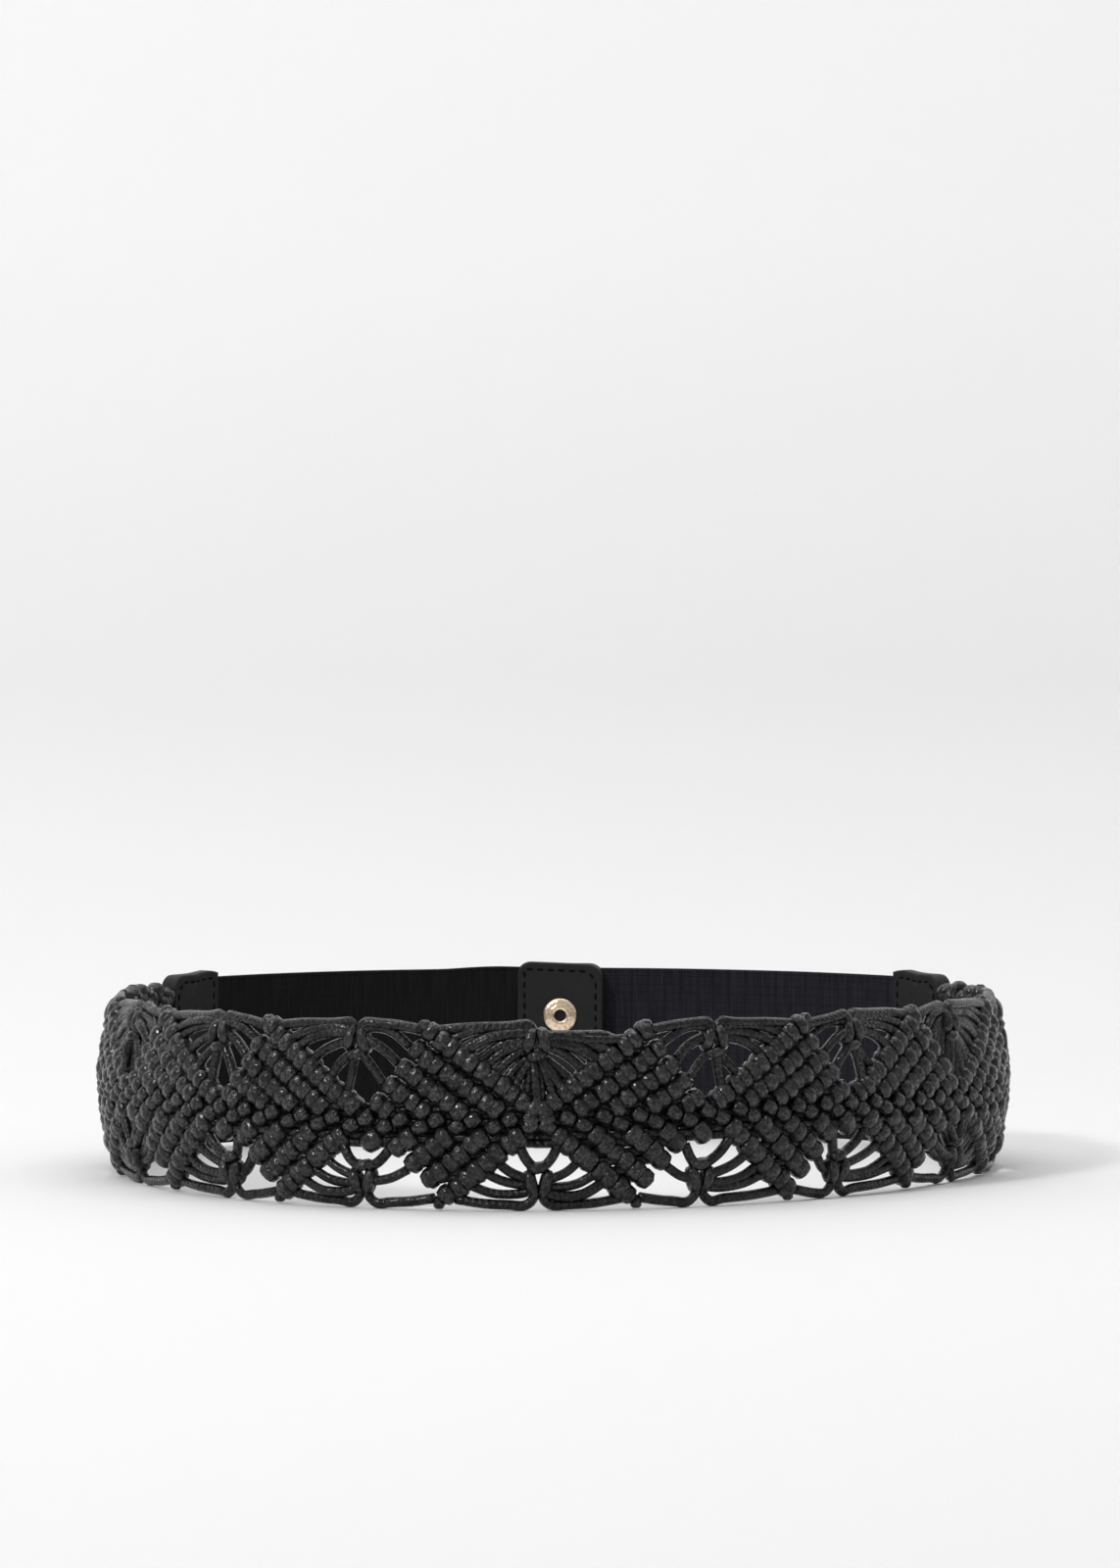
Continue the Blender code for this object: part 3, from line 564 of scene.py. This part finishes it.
def makeBars():
    ring = makeWrap()
    wraps, cores, between = [], [], []
    ringWidth = 2 * (wrap["ringRadius"] + wrap["cordRadius"])
    reach = panel["diamondLength"] / panel["chevrons"]
    for place in range(-panel["diamonds"], panel["diamonds"]):
        opens, waist = diamondStart(place)
        last = place in (-panel["diamonds"], panel["diamonds"] - 1)
        for chevron in range(panel["chevrons"] + (1 if last else 0)):
            point, beside, lowerStart, upperEnd, lowerEnd = chevronPlaces(waist, opens, chevron, not last)
            for upper in (True, False):
                start, end = (point, upperEnd) if upper else (lowerStart, lowerEnd)
                if last and (end[0] - start[0]) * opens <= 0:
                    continue
                length = np.linalg.norm(end - start)
                if not upper and length < wrap["shortest"]:
                    end = start + (opens * wrap["stub"], 0, -wrap["stub"])
                    length = np.linalg.norm(end - start)
                direction = (end - start) / length
                skip = wrap["upperSkip" if upper else "lowerSkip"]
                count = max(1, round((length - skip) / wrap["pitch"]))
                pitch = (length - skip) / count
                across = wrap["upperAcross" if upper else "lowerAcross"] / ringWidth
                middle = (start + end) / 2
                path = [point, middle, end] if upper else [point, start, middle, end + direction * 0.0004]
                cores.append(strandShape(path, panel["coreRadius"], 6))
                for number in range(count):
                    # wraps come in pairs, a little closer together and tilted against each other
                    pair = 1 if number % 2 == 0 else -1
                    step = skip + (number + 0.5 + pair * wrap["pairing"]) * pitch
                    spot = start + direction * step + dice.normal(0, wrap["wander"], 3)
                    size = np.array([across * (0.90 if number == count - 1 else 1.0),
                                     wrap["depth"] / ringWidth, pitch / wrap["pitch"]])
                    size *= 1 + dice.normal(0, wrap["growth"], 3)
                    tilt = pair * wrap["tilt"] + dice.normal(0, wrap["tiltWander"])
                    lean = dice.normal(0, wrap["leanWander"])
                    wraps.append(movedShape(ring, wrapMatrix(spot, direction, tilt, lean, size)))
                    if chevron > 0:
                        # a working cord runs on to the bar in front
                        ahead = spot - (opens * reach, 0, 0)
                        path = [spot, (spot + ahead) / 2 + (0, dice.normal(0, 0.0003), 0), ahead]
                        between.append(strandShape(path, panel["workingRadius"], 6))
            # cords lie behind the spine, from one chevron to the next
            for level in panel["spineCords"]:
                begin = point + (opens * 0.001, 0.0006, level)
                path = [begin, begin + (opens * (reach + 0.001), 0, 0)]
                between.append(strandShape(path, panel["workingRadius"], 6))
            for spot, (slope, grown) in zip((point, beside), wrap["spineWraps"]):
                size = np.array(grown) * (1 + dice.normal(0, wrap["growth"], 3))
                tilt = dice.normal(0, 0.08)
                wraps.append(movedShape(ring, wrapMatrix(spot, (opens, 0, slope), tilt, 0.0, size)))
    finishCords("knotted_wraps", wraps, waxedCord, ("macrame_panel",))
    finishCords("knotted_cores", cores, shadedWorkingCord)
    finishCords("working_cords", between, shadedWorkingCord)
    print("bars of wraps:", len(wraps), "wraps")


makeBars()

# fans between the diamonds: cords gathered in a knot at each waist
fan = {
    "radius": 0.00170,
    "upperInset": 0.0070, "lowerInset": 0.0092,
    "lobeRadius": 0.0021, "lobeApart": 0.0024, "lobeReach": 0.0026, "lobeDepth": 0.0015, "lobeSlant": 0.0007,
    "barHalf": 0.0020, "barRise": 0.0004, "barRadius": 0.00189,
    "stem": 0.0012, "upperTurn": 0.0026, "lowerTurn": 0.0044,
    "closerLanding": 0.1, "closerLeaving": 0.2,
    # how far each waist's lower knot sits to one side of the upper one
    "lowerShift": {-2: 0.0055, 1: -0.0055, 2: -0.0080},
    # how far the cord along the edge sags or arches, where it differs from the others
    "sag": {(0, 1, True): 0.0046},
    # cords on the side where a diamond points at the waist, and on the side where it opens:
    # the share of the way from the waist to the vertex where the cord comes out, where it goes
    # into the knot, from the knot's inner end, -1, to its outer end, 1, and its bow in cord radii
    "pointedUpper": ((0.13, -1.25, 0.0), (0.34, -1.05, 0.6), (0.54, -0.20, 1.3), (0.68, 0.25, 1.5),
                     (0.80, 0.60, 1.3), (0.93, 1.0, 0.0)),
    "pointedLower": ((0.24, -1.10, 1.2), (0.46, -0.30, 0.8), (0.60, 0.10, 1.3), (0.73, 0.45, 1.5),
                     (0.88, 0.95, 0.0)),
    "openUpper": ((0.36, -0.95, 0.6), (0.57, -0.10, 1.3), (0.77, 0.50, 1.3), (0.95, 1.0, 0.0)),
    "openLower": ((0.36, -0.95, 0.5), (0.60, -0.05, 1.1), (0.93, 0.95, 0.0)),
}


def fanEdge(waist, side, pointed, upper, share):
    reach = panel["upperReach"] if upper else panel["lowerReach"]
    if not pointed:
        reach = 1 - reach
    spine = spineHeight(waist)
    edge = panel["height"] - fan["radius"] if upper else fan["radius"]
    x = waist + side * share * reach * panel["diamondLength"]
    return np.array([x, 0.0, spine + share * (edge - spine)])


# the outermost cord turns out of the knot in a quarter circle and runs along the panel's edge
def edgePath(centre, edge, side, upper, sag):
    outward = 1 if upper else -1
    limit = panel["height"] - fan["radius"] if upper else fan["radius"]
    run = (edge[0] - centre[0]) * side
    depth = dice.normal(0, 0.0004)
    turn, stem = fan["upperTurn" if upper else "lowerTurn"], fan["stem"]
    # each step: how far from the knot's middle, and how far inside the edge
    corner = [(stem + turn * (1 - math.cos(angle)), turn * (1 - math.sin(angle)))
              for angle in (0.0, math.pi / 6, math.pi / 3, math.pi / 2)]
    steps = [(stem, (limit - centre[2]) * outward - 0.0006), *corner,
             (0.0095, 0.0002 + sag * 0.85), (run * 0.66, 0.0006 + sag), (run, 0.0020 + sag * 0.6)]
    return [np.array([centre[0] + side * out, depth, limit - outward * inside]) for out, inside in steps]


def makeFans():
    cords, knots = [], []
    radius = fan["radius"]
    for place in range(-panel["diamonds"] + 1, panel["diamonds"]):
        waist = panel["centreWaist"] + place * panel["diamondLength"]
        for upper in (True, False):
            outward = 1 if upper else -1
            height = panel["height"] - fan["upperInset"] if upper else fan["lowerInset"]
            shift = 0.0 if upper else fan["lowerShift"].get(place, 0.0)
            centre = np.array([waist + shift + dice.normal(0, 0.0007), 0.0, height])
            reach = fan["lobeReach"] + fan["lobeRadius"]
            for side in (-1, 1):
                pointed = side * place >= 0
                table = fan[("pointed" if pointed else "open") + ("Upper" if upper else "Lower")]
                if abs(place) > 2 or place == 0 and upper:
                    # far from the middle the fans are tied closer
                    table = tuple((landing - fan["closerLanding"], leaving - fan["closerLeaving"], bow)
                                  for landing, leaving, bow in table[:-1]) + table
                sag = fan["sag"].get((place, side, upper), 0.0)
                for number, (landing, leaving, bow) in enumerate(table):
                    edge = fanEdge(waist, side, pointed, upper, landing + dice.normal(0, 0.015))
                    if number == len(table) - 1:
                        drawn = sag + abs(dice.normal(0, 0.0004))
                        path = smoothPath(edgePath(centre, edge, side, upper, drawn), 4)
                    else:
                        leave = centre + (side * 0.001, 0, outward * leaving * reach)
                        depth = dice.normal(0, 0.0006)
                        rise = outward * (bow + dice.normal(0, 0.25)) * radius
                        path = smoothPath([leave, leave * 0.76 + edge * 0.24 + (0, depth, rise * 0.8),
                                           leave * 0.38 + edge * 0.62 + (0, depth, rise), edge], 5)
                    path[:, 2] = np.clip(path[:, 2], radius, panel["height"] - radius * 0.9 - sag * 0.85)
                    cords.append(strandShape(path, radius * (1 + dice.normal(0, 0.04)), 8))
            # the knot: two upright lobes side by side, and a short one across their inner end
            turn = np.linspace(0, 2 * math.pi, 15)[:-1]
            for side in (-1, 1):
                grown = 1 + dice.normal(0, 0.06)
                loop = np.column_stack([
                    centre[0] + side * fan["lobeApart"] - side * fan["lobeSlant"] * np.sin(turn) * outward,
                    fan["lobeDepth"] * np.cos(turn),
                    centre[2] + dice.normal(0, 0.0003) + fan["lobeReach"] * grown * np.sin(turn),
                ])
                knots.append(strandShape(loop, fan["lobeRadius"], 8, closed=True))
            inner = centre[2] - outward * (reach + 0.0002)
            loop = np.column_stack([
                centre[0] + fan["barHalf"] * np.sin(turn), fan["lobeDepth"] * np.cos(turn),
                inner + fan["barRise"] * np.sin(turn)])
            knots.append(strandShape(loop, fan["barRadius"], 8, closed=True))
    finishCords("fan_cords", cords, shadedFanCord)
    finishCords("fan_knots", knots, waxedCord)
    print("fans:", len(cords), "cords,", len(knots), "knot loops")


makeFans()

# cord ends: knobs at the diamonds' vertices, and the flat row of cords into the leather
ends = {"knob": 0.0019, "rowCords": 15, "rowHeight": 0.0520, "leftMargin": 0.010, "rightMargin": 0.012,
        "inTab": 0.0115, "rowRadius": 0.00160}


def makeEnds():
    knobs, row = [], []
    for place in range(-panel["diamonds"], panel["diamonds"]):
        opens, waist = diamondStart(place)
        for upper in (True, False):
            outward = 1 if upper else -1
            spot = fanEdge(waist, opens, True, upper, 1.0)
            spot[0] += dice.normal(0, 0.0012)
            path = [spot - (0, 0, outward * 0.003), spot - (0, 0.0004, outward * 0.001),
                    spot + (0, -0.0004, outward * 0.0004), spot + (0, -0.0004, outward * 0.0012)]
            knobs.append(strandShape(path, ends["knob"], 9, taper=0.6))
    for outward in (-1, 1):
        waist = panel["centreWaist"] + outward * panel["diamonds"] * panel["diamondLength"]
        margin = ends["rightMargin"] if outward > 0 else ends["leftMargin"]
        for number in range(ends["rowCords"]):
            level = (number / (ends["rowCords"] - 1) - 0.5) * (ends["rowHeight"] - 2 * ends["rowRadius"])
            height = belt["middleHeight"] + level
            spine = spineHeight(waist)
            upper = height > spine
            edge = panel["height"] if upper else 0.0
            share = abs((height - spine) / (edge - spine)) * 0.98
            begin = fanEdge(waist, -outward, False, upper, share)
            begin[0] -= outward * 0.0015
            depth = dice.normal(0, 0.0003)
            path = smoothPath([
                begin, (waist - outward * 0.001, depth, begin[2] * 0.3 + height * 0.7),
                (waist + outward * margin * 0.5, depth, height),
                (waist + outward * (margin + ends["inTab"]), 0.0, height)], 4)
            row.append(strandShape(path, ends["rowRadius"], 8))
    finishCords("cord_ends", knobs, waxedCord)
    finishCords("end_cords", row, waxedCord)
    print("cord ends:", len(knobs), "knobs,", len(row), "cords into the leather")


makeEnds()


# the elastic back, flat at first
back = {
    "leftTab": -0.3402, "leftClosure": -0.4627,
    "rightTab": 0.3318, "rightClosure": 0.4493,
    "width": 0.060, "thickness": 0.0016,
    "intoTab": 0.0106, "intoClosure": 0.0262,
    "offset": 0.00235, "tilt": math.radians(2.4), "runOut": 0.030,
    "closureTab": 0.032,
    # selvedges: a thicker cord of threads along each edge, with a furrow inside it
    "selvedgePlaces": (0.0, 0.0008, 0.0016, 0.0022, 0.0030),
    "selvedgeRelief": (0.0, 0.00008, -0.00022, 0.0, 0.0),
    "edgeRound": 0.0004, "ripple": 0.00012, "pieces": 40,
}


def smoothStep(value, start, end):
    share = np.clip((value - start) / (end - start), 0, 1)
    return share * share * (3 - 2 * share)


# moves flat rows to their side of the closure, and tilts the inner side
def toClosure(rows, tabX, closureX, inner):
    rows = rows.copy()
    rows[:, 1] += (1 if inner else -1) * back["offset"] * smoothStep(rows[:, 0], tabX, closureX)
    if inner:
        middle = back["leftClosure"] - back["closureTab"] / 2
        runOut = smoothStep(rows[:, 0], back["leftClosure"] + back["runOut"], back["leftClosure"])
        rows[:, 2] += (rows[:, 0] - middle) * math.tan(back["tilt"]) * runOut
    return rows


def flatBlock(name, low, high):
    bpy.ops.object.select_all(action="DESELECT")
    middle = [(a + b) / 2 for a, b in zip(low, high)]
    bpy.ops.mesh.primitive_cube_add(size=1, location=middle)
    piece = bpy.context.object
    piece.name = name
    resizeVerts([b - a for a, b in zip(low, high)])
    bpy.ops.object.transform_apply(location=True, rotation=True, scale=True)
    return piece


def makeElastic(name, material, tabX, closureX, inner):
    outward = 1 if closureX > tabX else -1
    left, right = sorted((tabX - outward * back["intoTab"], closureX + outward * back["intoClosure"]))
    half = back["thickness"] / 2
    low, high = belt["middleHeight"] - back["width"] / 2, belt["middleHeight"] + back["width"] / 2
    piece = flatBlock(name, (left, -half, low), (right, half, high))
    levels = back["selvedgePlaces"][1:]
    sliceAlong(piece, 2, [low + level for level in levels] + [high - level for level in levels])
    bevelEdges(piece, lambda edge: span(edge, 0) > 0.01
               and min(abs(edge.verts[0].co.z - low), abs(edge.verts[0].co.z - high)) < 1e-5,
               back["edgeRound"], 2)
    rows = readVerts(piece)
    fromEdge = np.minimum(rows[:, 2] - low, high - rows[:, 2])
    rows[:, 1] += np.sign(rows[:, 1]) * np.interp(fromEdge, back["selvedgePlaces"], back["selvedgeRelief"])
    writeVerts(piece, rows)
    sliceAlong(piece, 0, np.linspace(left, right, back["pieces"] + 1)[1:-1])
    storeFlatUv(piece)
    rows = readVerts(piece)
    rows[:, 1] += back["ripple"] * np.sin(rows[:, 0] * 130)
    writeVerts(piece, toClosure(rows, tabX, closureX, inner))
    wrapRound(piece)
    selectOnly(piece)
    bpy.ops.object.shade_smooth_by_angle(angle=math.radians(40))
    finishPiece(piece, material, (name[:-4],))


makeElastic("elastic_left_web", leftWeb, back["leftTab"], back["leftClosure"], True)
makeElastic("elastic_right_web", rightWeb, back["rightTab"], back["rightClosure"], False)
print("elastic made")


# leather tabs with their stitching
leather = {
    "height": 0.0632, "corner": 0.0055, "thickness": 0.0044, "mouth": 0.0064,
    "endTab": 0.0265, "edgeRound": 0.0006,
    "stitch": 0.0026, "stitchGap": 0.0011, "stitchInset": 0.0027, "stitchWidth": 0.00038,
    "channel": 0.00022, "channelWidth": 0.0007,
    # cuts along the height, from, to and apart, fine where the seams run
    "closureCuts": ((0.0012, 0.0060, 0.0007), (0.008, 0.056, 0.003), (0.0575, 0.0622, 0.0007)),
    "endCuts": ((0.0012, 0.0062, 0.0007), (0.008, 0.056, 0.003), (0.0572, 0.0622, 0.0007)),
    # along an end tab from its mouth: how far it has thinned, and how far its top edge rises
    "endPlaces": (0.0, 0.46, 0.58, 0.80, 0.92, 1.0),
    "endThinning": (0.0, 0.0, 0.65, 1.0, 1.0, 1.0),
    "endRising": (0.0, 0.0, 0.2, 1.0, 0.6, 0.0), "endRise": 0.0009,
}


# a channel is pressed into both faces along each seam
def pressSeams(rows, seams, half):
    distance = np.full(len(rows), 1.0)
    for (x0, z0), (x1, z1) in seams:
        run = np.array([x1 - x0, z1 - z0])
        share = np.clip(((rows[:, 0] - x0) * run[0] + (rows[:, 2] - z0) * run[1]) / (run @ run), 0, 1)
        gap = np.hypot(rows[:, 0] - x0 - share * run[0], rows[:, 2] - z0 - share * run[1])
        distance = np.minimum(distance, gap)
    press = leather["channel"] * np.exp(-(distance / leather["channelWidth"]) ** 2)
    rows[:, 1] -= np.sign(rows[:, 1]) * press * (abs(rows[:, 1]) > half * 0.8)
    return rows


# one thread stitch is a short bowed strand, copied along every seam
def stitchShapes(seams, levels):
    shapes = []
    step = leather["stitch"] + leather["stitchGap"]
    for (x0, z0), (x1, z1) in seams:
        length = math.hypot(x1 - x0, z1 - z0)
        count = max(1, int(length / step))
        for number in range(count):
            middle = (number + 0.5) / count
            reach = leather["stitch"] / 2 / length
            for level in levels:
                sign = 1 if level > 0 else -1
                path = []
                for share, lift in ((-1, -0.00035), (-0.5, 0.00005), (0.5, 0.00005), (1, -0.00035)):
                    t = middle + share * reach
                    path.append((x0 + (x1 - x0) * t, level + sign * (lift - leather["channel"] * 0.6),
                                 z0 + (z1 - z0) * t))
                shapes.append(strandShape(path, leather["stitchWidth"], 6, taper=0.6))
    return shapes


def roundFaces(piece):
    bevelEdges(piece, lambda edge: span(edge, 1) < 1e-5
               and any(abs(face.normal.y) < 0.1 for face in edge.link_faces), leather["edgeRound"], 3)


# cuts and presses the flat leather, then bends it and its stitches round the loop
def finishTab(name, piece, sides, bottom, cuts, corners, half, placed):
    sliceAlong(piece, 0, np.arange(min(sides) + 0.0010, max(sides) - 0.0005, 0.0008))
    sliceAlong(piece, 2, np.concatenate([np.arange(bottom + low, bottom + high, apart)
                                         for low, high, apart in cuts]))
    seams = list(zip(corners, corners[1:] + corners[:1]))
    writeVerts(piece, placed(pressSeams(readVerts(piece), seams, half)))
    wrapRound(piece)
    selectOnly(piece)
    bpy.ops.object.shade_smooth_by_angle(angle=math.radians(50))
    finishPiece(piece, tabLeather, (name,))
    shapes = [(placed(rows), faces, uvs) for rows, faces, uvs in stitchShapes(seams, (-half, half))]
    finishPiece(joinShapes(name + "_stitches", shapes), tabThread)


def makeClosureTab(name, mouthX, inner):
    outward = -1 if inner else 1
    farX = mouthX + outward * back["closureTab"]
    bottom = (back["closureTab"] / 2 - leather["corner"]) * math.tan(back["tilt"]) if inner else 0.0
    half = leather["thickness"] / 2
    piece = flatBlock(name + "_leather", (min(mouthX, farX), -half, bottom),
                      (max(mouthX, farX), half, bottom + leather["height"]))
    bevelEdges(piece, lambda edge: span(edge, 1) > half, leather["corner"], 7)
    roundFaces(piece)
    inset = leather["stitchInset"]
    low, top = bottom + inset, bottom + leather["height"] - inset
    near, far = mouthX + outward * inset, farX - outward * inset
    turn = leather["corner"] * 0.55
    corners = [(near, top), (far - outward * turn, top), (far, top - turn), (far, low + turn),
               (far - outward * turn, low), (near, low)]

    def placed(rows):
        rows = rows.copy()
        rows[:, 1] += (1 if inner else -1) * back["offset"]
        if inner:
            middle = back["leftClosure"] - back["closureTab"] / 2
            rows[:, 2] += (rows[:, 0] - middle) * math.tan(back["tilt"])
        return rows

    finishTab(name, piece, (mouthX, farX), bottom, leather["closureCuts"], corners, half, placed)


def makeEndTab(name, mouthX, outward):
    farX = mouthX + outward * leather["endTab"]
    # the block is thick while its corners are rounded, and then pressed flat
    piece = flatBlock(name + "_leather", (min(mouthX, farX), -0.5, 0.0),
                      (max(mouthX, farX), 0.5, leather["height"]))
    bevelEdges(piece, lambda edge: all(abs(vert.co.x - mouthX) < 1e-5 for vert in edge.verts)
               and span(edge, 2) < 1e-5, leather["corner"], 7)
    rows = readVerts(piece)
    rows[:, 1] *= leather["mouth"]
    writeVerts(piece, rows)
    roundFaces(piece)
    inset = leather["stitchInset"]
    low, top = inset, leather["height"] - inset
    near, far = mouthX + outward * inset * 0.9, farX - outward * inset * 0.9
    turn = leather["corner"] * 0.55
    corners = [(near, low + turn), (near, top - turn), (near + outward * turn, top), (far, top), (far, low),
               (near + outward * turn, low)]

    def placed(rows):
        share = (rows[:, 0] - mouthX) * outward / leather["endTab"]
        thinned = np.interp(share, leather["endPlaces"], leather["endThinning"])
        thickness = leather["mouth"] + (leather["thickness"] - leather["mouth"]) * thinned
        rise = leather["endRise"] * np.interp(share, leather["endPlaces"], leather["endRising"])
        rows = rows.copy()
        rows[:, 1] *= thickness / leather["mouth"]
        rows[:, 2] += rise * smoothStep(rows[:, 2], 0.045, leather["height"])
        return rows

    finishTab(name, piece, (mouthX, farX), 0.0, leather["endCuts"], corners, leather["mouth"] / 2, placed)


makeClosureTab("closure_tab_inner", back["leftClosure"], True)
makeClosureTab("closure_tab_outer", back["rightClosure"], False)
makeEndTab("end_tab_left", panel["leftMouth"], -1)
makeEndTab("end_tab_right", panel["rightMouth"], 1)
print("leather tabs and stitches made")

# snaps, turned round their own axis
snap = {
    "spacing": 0.026, "diameter": 0.0125, "bore": 0.0044, "barrel": 0.0060, "flange": 0.0009,
    "lip": 0.0006, "seat": 0.00495, "neck": 0.004, "steps": 48,
}


def turnedPiece(name, profile, matrix):
    mesh = bpy.data.meshes.new(name)
    mesh.from_pydata([(r, 0, z) for r, z in profile], [(k, k + 1) for k in range(len(profile) - 1)], [])
    piece = addObject(name, mesh)
    selectOnly(piece)
    bpy.ops.object.mode_set(mode="EDIT")
    bpy.ops.mesh.select_all(action="SELECT")
    bpy.ops.mesh.spin(steps=snap["steps"], angle=2 * math.pi, center=(0, 0, 0), axis=(0, 0, 1))
    bpy.ops.mesh.select_all(action="SELECT")
    bpy.ops.mesh.remove_doubles(threshold=0.00001)
    bpy.ops.mesh.normals_make_consistent(inside=False)
    bpy.ops.object.mode_set(mode="OBJECT")
    bpy.ops.object.shade_smooth_by_angle(angle=math.radians(35))
    mesh.transform(matrix)
    return piece


# local z points into the loop and local y up
def snapMatrix(x, z):
    base, inner = (Vector(spot) for spot in onLoop([(x, 0, z), (x, 0.001, z)]))
    inward = (inner - base).normalized()
    up = Vector((0, 0, 1))
    turn = Matrix((up.cross(inward), up, inward)).transposed().to_4x4()
    return Matrix.Translation(base) @ turn


def makeSnap(level, z):
    rim, bore, barrel = snap["diameter"] / 2, snap["bore"] / 2, snap["barrel"] / 2
    seat, lip, neck = snap["seat"], snap["lip"], snap["neck"]
    top = seat + snap["flange"]
    # each profile is a list of distances from the axis and heights along it
    ring = [
        (bore, seat - neck), (bore, top + lip * 0.4), (bore + 0.0003, top + lip * 0.85),
        (bore + 0.0008, top + lip), (bore + 0.0014, top + lip * 0.85), (bore + 0.0019, top + lip * 0.35),
        (bore + 0.0024, top + lip * 0.25), (rim - 0.0012, top + lip * 0.10), (rim - 0.0005, top - 0.0002),
        (rim - 0.0001, top - 0.0005), (rim, top - 0.0008), (rim - 0.0003, seat), (barrel, seat),
        (barrel, seat - neck), (bore, seat - neck),
    ]
    floor = [
        (0, seat - 0.0012), (bore * 0.6, seat - 0.0014), (bore + 0.0002, seat - 0.0008),
        (bore + 0.0002, seat - 0.0024), (0, seat - 0.0024),
    ]
    cap = [
        (0, -top - lip * 0.5), (rim * 0.35, -top - lip * 0.45), (rim * 0.65, -top - lip * 0.15),
        (rim * 0.85, -top + 0.0002), (rim * 0.97, -top + 0.0005), (rim, -seat - 0.0003),
        (rim - 0.0002, -seat), (barrel, -seat), (barrel, -seat + neck), (0, -seat + neck),
    ]
    matrix = snapMatrix(back["leftClosure"] - back["closureTab"] / 2, z)
    for name, profile, material, nodes in (
            ("snap_ring_", ring, snapGold, ("snap_stud_" + level,)), ("snap_hole_", floor, snapInside, ()),
            ("snap_cap_", cap, snapGold, ("snap_socket_" + level,))):
        finishPiece(turnedPiece(name + level, profile, matrix), material, nodes)


for level, offset in (("upper", snap["spacing"] / 2), ("lower", -snap["spacing"] / 2)):
    makeSnap(level, belt["middleHeight"] + offset)
print("snaps made")

# floor, light and camera
studio = {
    "wallAt": 0.42, "sweep": 0.16, "sweepSteps": 12, "halfWidth": 6.0, "wallTop": 5.0,
    # the floor's tone and the tone high up the wall paint light and shade onto one pale paper
    "floorTone": 0.842, "wallTone": 0.855, "paintedLightHighTone": 0.955, "roughness": 0.9, "air": 0.405,
    # each light: where it hangs, what it points at, its width and height, and its power
    "lights": {
        "key_light": ((-1.7, -2.0, 2.2), (0, 0, 0), (0.55, 0.55), 42.0),
        "fill_light": ((1.4, -1.2, 1.0), (0, 0, 0), (1.0, 1.0), 0.8),
        "top_light": ((0.0, 0.35, 1.9), (0, 0.1, 0), (2.2, 1.4), 21.5),
    },
    "cameraAt": (0.002, -2.456, 0.218), "pitch": 1.96, "lens": 163.4,
}


# pale paper with painted light and shade: a little darker on the floor than at the wall's foot, and lighter
# up the wall, where the lamps light it less; clear from behind so that the belt can be seen from there
def paperMaterial():
    paper, tree, shader = newMaterial("studio_paper")
    up = addNode(tree, "ShaderNodeSeparateXYZ", {0: objectSpot(tree)}).outputs["Z"]
    near = rampNode(tree, up, 0.0, 0.04, studio["floorTone"], studio["wallTone"])
    # painted light: the wall grows lighter with height, in place of light that the lamps don't give there
    high = rampNode(tree, up, 0.04, 0.35, 0.0, studio["paintedLightHighTone"] - studio["wallTone"])
    tone = mathNode(tree, "ADD", near, high)
    grey = addNode(tree, "ShaderNodeCombineColor", {part: tone for part in ("Red", "Green", "Blue")})
    setInputs(tree, shader, {"Base Color": grey.outputs["Color"], "Roughness": studio["roughness"]})
    fromBehind = addNode(tree, "ShaderNodeNewGeometry").outputs["Backfacing"]
    clear = addNode(tree, "ShaderNodeBsdfTransparent").outputs[0]
    surface = addNode(tree, "ShaderNodeMixShader", {0: fromBehind, 1: shader.outputs[0], 2: clear}).outputs[0]
    setInputs(tree, tree.nodes["Material Output"], {"Surface": surface})
    return paper


def makeSweep():
    bend, wide = studio["sweep"], studio["halfWidth"]
    profile = [(-wide, 0.0), (-1.0, 0.0), (studio["wallAt"], 0.0)]
    for step in range(1, studio["sweepSteps"] + 1):
        angle = step / studio["sweepSteps"] * math.pi / 2
        profile.append((studio["wallAt"] + bend * math.sin(angle), bend * (1 - math.cos(angle))))
    profile.append((studio["wallAt"] + bend, studio["wallTop"]))
    count = len(profile)
    mesh = bpy.data.meshes.new("studio_sweep")
    mesh.from_pydata([(x, y, z) for x in (-wide, wide) for y, z in profile], [],
                     [(k, k + count, k + count + 1, k + 1) for k in range(count - 1)])
    mesh.polygons.foreach_set("use_smooth", [True] * len(mesh.polygons))
    mesh.materials.append(paperMaterial())
    sweep = addObject("studio_sweep", mesh)


def makeLights():
    for name, (spot, aim, size, power) in studio["lights"].items():
        data = bpy.data.lights.new(name, "AREA")
        data.shape = "RECTANGLE"
        data.size, data.size_y = size
        data.energy = power
        lamp = addObject(name, data)
        lamp.location = spot
        lamp.rotation_euler = (Vector(aim) - Vector(spot)).to_track_quat("-Z", "Y").to_euler()
    world = bpy.data.worlds.new("studio_air")
    world.use_nodes = True
    setInputs(world.node_tree, world.node_tree.nodes["Background"],
              {"Color": (1, 1, 1, 1), "Strength": studio["air"]})
    scene.world = world


def makeCamera():
    data = bpy.data.cameras.new("photo_camera")
    data.lens = studio["lens"]
    data.sensor_width = 36
    data.clip_end = 50
    camera = addObject("photo_camera", data)
    camera.location = studio["cameraAt"]
    camera.rotation_euler = (math.radians(90 - studio["pitch"]), 0, 0)
    scene.camera = camera


makeSweep()
makeLights()
makeCamera()
print("studio made")
